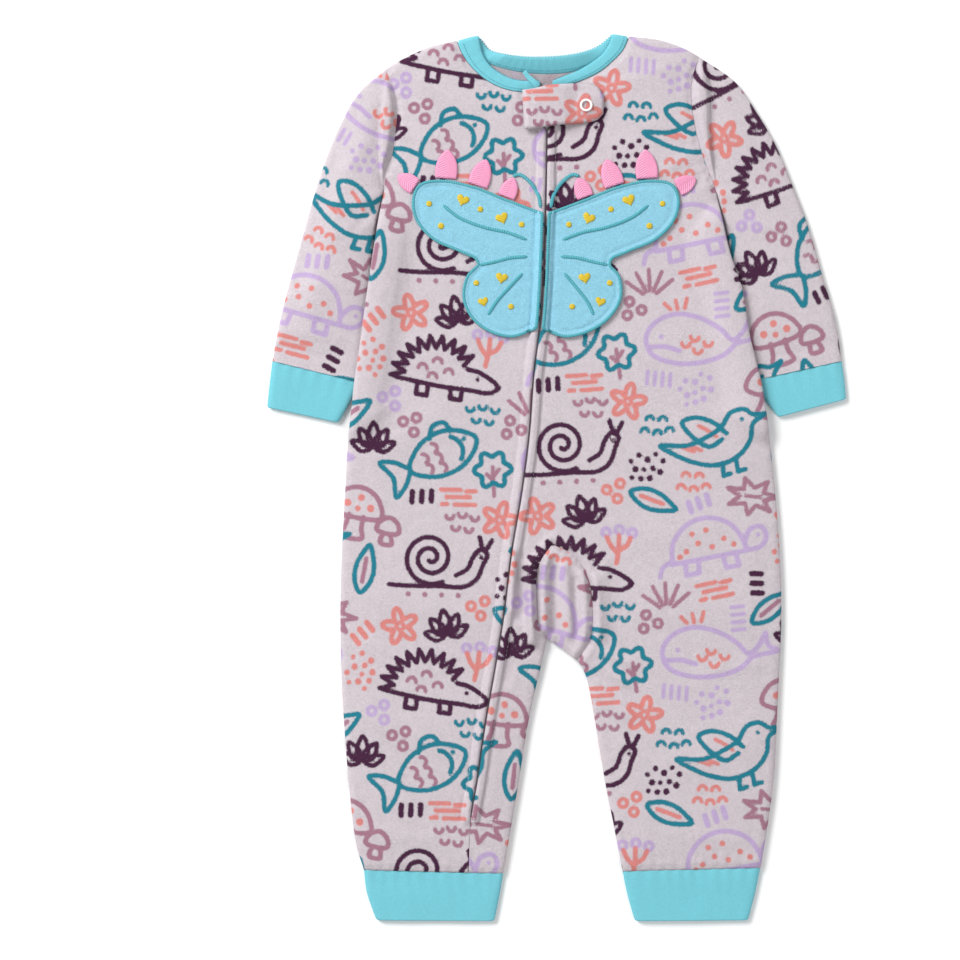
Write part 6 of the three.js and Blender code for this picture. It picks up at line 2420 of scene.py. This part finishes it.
    def thickness(self, points: Array, rim: list[Array]) -> Array:
        """Measures the wing.

        Args:
            points: Flat points.
            rim: The wing's rim.

        Returns:
            Its thickness at each point, rounded off at the rim.
        """
        away = nearest(points, rim, RIM_REACH)
        press = self.press * bell((away - self.press_at) / self.press_half)
        nap = 0.12 * self.shop.nap.noise.at(points, 3.3) * smooth(away / 3)
        return WING_THICK * rounded(away, self.roll_run) - press + nap

    def laid(self, flat: Array, rim: list[Array]) -> Array:
        """Gives points on the wing's upper side."""
        return np.column_stack([flat, self.base(flat) + self.thickness(flat, rim)])

    def edging(self, name: str, inner: Array, outer: Array) -> None:
        """Makes the satin stitch over the wing's edge.

        Args:
            name: left or right.
            inner: The points of the wing's edge beside the zip.
            outer: The points of its other edge.
        """
        loop = np.vstack([outer, inner[::-1]])
        loop = spline(loop[::3], closed=True, steps=3)[:-1]
        step = np.roll(loop, -1, axis=0) - np.roll(loop, 1, axis=0)
        turned = np.sum(loop[:, 0] * np.roll(loop[:, 1], -1) - loop[:, 1] * np.roll(loop[:, 0], -1)) > 0
        normal = np.column_stack([-step[:, 1], step[:, 0]]) / np.hypot(*step.T)[:, None] * (1 if turned else -1)
        loop = loop + 0.75 * normal
        path = np.column_stack([loop, self.base(loop) + WING_THICK - 0.45])
        strip = SatinStrip(path, *self.EDGE, closed=True).mesh()
        self.shop.place(f"wing_{name}_edging", strip, Materials.OUTLINE, Slot.WING)

    @staticmethod
    def heart(size: float) -> Array:
        """Draws a heart.

        Args:
            size: Half its width in millimetres.

        Returns:
            The outline, a little wider than high.
        """
        t = circle(32)
        x = 16 * np.sin(t) ** 3
        y = 13 * np.cos(t) - 5 * np.cos(2 * t) - 2 * np.cos(3 * t) - np.cos(4 * t) + 2.5
        return np.column_stack([x, y]) * size / 16

    @staticmethod
    def disc(radius: float) -> Array:
        """Gives a dot's outline."""
        t = circle(16)
        return radius * np.column_stack([np.sin(t), np.cos(t)])

    def dome(
        self, side: int, place: tuple[float, float], outline: Array, angle: float, rim: list[Array],
    ) -> Mesh:
        """Makes a low satin shape on a wing.

        Args:
            side: -1 for the left wing and 1 for the right one.
            place: The shape's reach from the zip and its height.
            outline: Its outline about its middle.
            angle: How far it is turned, in degrees.
            rim: The wing's rim.

        Returns:
            The shape.
        """
        shares, rises = self.DOME.T
        middle, count = self.spot(side, *place), len(outline)
        flat = middle + shares[:, None, None] * (outline @ turn(angle * side))
        points = self.laid(np.vstack([flat.reshape(-1, 2), middle]), rim)
        points[:, 2] += np.append(np.repeat(rises, count), rises[-1])
        ids = np.arange(len(shares) * count).reshape(-1, count)
        tip = np.column_stack([ids[-1], np.roll(ids[-1], -1), np.full(count, ids.size)])
        mesh = right_way_out(Mesh(points, [lattice(ids), tip, ids[:1, ::-1]]))
        across = points[:, 1] - middle[1] + 0.35 * (points[:, 0] - middle[0])
        mesh.values["thread"] = np.column_stack([across, np.zeros((len(points), 2))])
        return mesh

    def petals(self, name: str, side: int) -> None:
        """Makes the satin petals that stand out from a wing.

        Args:
            name: left or right.
            side: -1 for the left wing and 1 for the right one.
        """
        shape = Curve(self.spot(side, *np.array(self.OUTLINE, float).T))
        for number, (along, length, half) in enumerate(self.PETALS, 1):
            root, near = shape.at(along), shape.at([along - 0.002, along + 0.002])
            ahead = (near[1] - near[0]) / np.hypot(*(near[1] - near[0]))
            out = np.array([side * ahead[1], -side * ahead[0]])
            u = self.PETAL_ROWS
            across = half * (0.8 + 0.45 * u) * np.clip(1 - u**1.9, 0, 1) ** 0.8 + 0.35
            middle = root + (1.2 + u[:, None] * length) * out
            aside = np.array([out[1], -out[0]])
            edges = [middle - across[:, None] * aside, middle + across[:, None] * aside]
            points, cells = Net().block(*edges, np.tile(self.PETAL_COLUMNS, (len(u), 1))).joined()
            away = nearest(points, [*edges, np.array([edges[0][0], edges[1][0]])], RIM_REACH)
            base = self.base(points)
            place, outward = (points - root) @ aside, (points - root) @ out
            thick = PETAL_THICK * rounded(away, self.petal_roll) - 0.2 * bell(place / 0.6) * smooth(away / 3)
            mesh = wall(points, cells, base + thick, base)
            thread = np.column_stack([outward + 0.55 * np.abs(place), place, place * 0])
            mesh.values["thread"] = np.vstack([thread, thread])
            node = f"petal_{name}_{number}"
            self.shop.place(f"{node}_satin", mesh, Materials.PETAL, Slot.PETAL, [node])


@dataclass
class Studio:
    """The floor, the light and the camera."""

    height: float = 2.4
    middle: tuple[float, float] = (-0.0553, -0.0018)
    seen_width: float = 0.6912
    mean_top: float = 0.008
    world_light: float = 0.47
    floor_reach: float = 4.0
    floor_z: float = -0.0003
    floor_grey: float = 0.96

    def build(self) -> None:
        """Makes the studio."""
        scene = bpy.context.scene
        camera = bpy.data.cameras.new("camera")
        camera.lens = camera.sensor_width * (self.height - self.mean_top) / self.seen_width
        stand = bpy.data.objects.new("camera", camera)
        stand.location = (*self.middle, self.height)
        scene.collection.objects.link(stand)
        scene.camera = stand
        self.floor()
        world = bpy.data.worlds.new("studio")
        world.use_nodes = True
        light = world.node_tree.nodes["Background"].inputs
        light["Color"].default_value = (1, 1, 1, 1)
        light["Strength"].default_value = self.world_light
        scene.world = world
        scene.view_settings.view_transform = "Standard"
        self.lamp("window", (-2.5, 2.2, 2.6), 2.3, 198.0)
        self.lamp("fill", (1.6, -0.9, 2.6), 1.6, 18.0)

    def floor(self) -> None:
        """Makes the pale floor just under the garment."""
        data = bpy.data.meshes.new("floor")
        far = self.floor_reach
        corners = [(x, y, self.floor_z) for x, y in ((-far, -far), (far, -far), (far, far), (-far, far))]
        data.from_pydata(corners, [], [(0, 1, 2, 3)])
        material = bpy.data.materials.new("pale floor")
        material.use_nodes = True
        shader = material.node_tree.nodes["Principled BSDF"]
        shader.inputs["Base Color"].default_value = (*[self.floor_grey] * 3, 1)
        shader.inputs["Roughness"].default_value = 0.9
        data.materials.append(material)
        floor = bpy.data.objects.new("floor", data)
        bpy.context.scene.collection.objects.link(floor)

    def lamp(self, name: str, place: tuple[float, float, float], size: float, power: float) -> None:
        """Makes a soft lamp that points at the garment.

        Args:
            name: Its name.
            place: Where it stands, in metres.
            size: Its width in metres.
            power: Its power in watts.
        """
        light = bpy.data.lights.new(name, "AREA")
        light.shape, light.size, light.energy = "DISK", size, power
        lamp = bpy.data.objects.new(name, light)
        lamp.location = place
        lamp.rotation_euler = (-Vector(place)).to_track_quat("-Z", "Y").to_euler()
        bpy.context.scene.collection.objects.link(lamp)


LEFT_SLEEVE_CREASES = Folds([
    (-127, 204, -150, 196, 3.4, 0.9), (-128, 196, -146, 178, 3.0, -0.7), (-132, 182, -158, 176, 4.5, 0.7),
    (-152, 222, -136, 240, 5, 0.5), (-190, 132, -160, 140, 7, 0.5), (-198, 106, -158, 100, 5, 0.6),
    (-200, 94, -160, 84, 3.6, -0.5),
])
RIGHT_SLEEVE_CREASES = Folds([
    (118, 204, 142, 200, 3.4, 0.9), (119, 194, 138, 178, 3.0, -0.7), (124, 182, 150, 180, 4.5, 0.7),
    (140, 232, 124, 246, 5, 0.5), (186, 146, 156, 146, 7, 0.5), (196, 112, 156, 106, 5, 0.6),
    (200, 96, 160, 88, 3.6, -0.5),
])


def main() -> None:
    """Makes the whole scene."""
    logging.basicConfig(level=logging.INFO, format="%(message)s")
    Studio().build()
    form = Form()
    shop = Workshop(form, Nap(form), Print(), Materials())
    Panels(shop).build()
    Sleeve(shop, "left", (60.0, 150.0, 24.0), LEFT_SLEEVE_CREASES, 0.0209, loft=4.8).build()
    Sleeve(shop, "right", (120.0, 60.0, -28.0), RIGHT_SLEEVE_CREASES, 0.0243, loft=1.4).build()
    Cuff(shop, "sleeve_left", Cut((0.124, 0.056), 0.0037)).build()
    Cuff(shop, "sleeve_right", Cut((0.118, 0.056), 0.0032)).build()
    Cuff(shop, "leg_left", Cut((0.192, 0.070), 0.0064)).build()
    Cuff(shop, "leg_right", Cut((0.186, 0.072), 0.0065)).build()
    NeckBand(shop).build()
    Zip(shop).build()
    ZipTab(shop).build()
    Butterfly(shop).build()
    for name, finish in (("zip_tape", Materials.TAPE), ("zip_slider", Materials.METAL),
                         ("zip_pull", Materials.METAL), ("snap_stud", Materials.METAL)):
        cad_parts[name].material_slots[0].material = shop.materials.get(finish)
    LOG.info("added: %d triangles", shop.triangles)


if __name__ == "__main__":
    main()
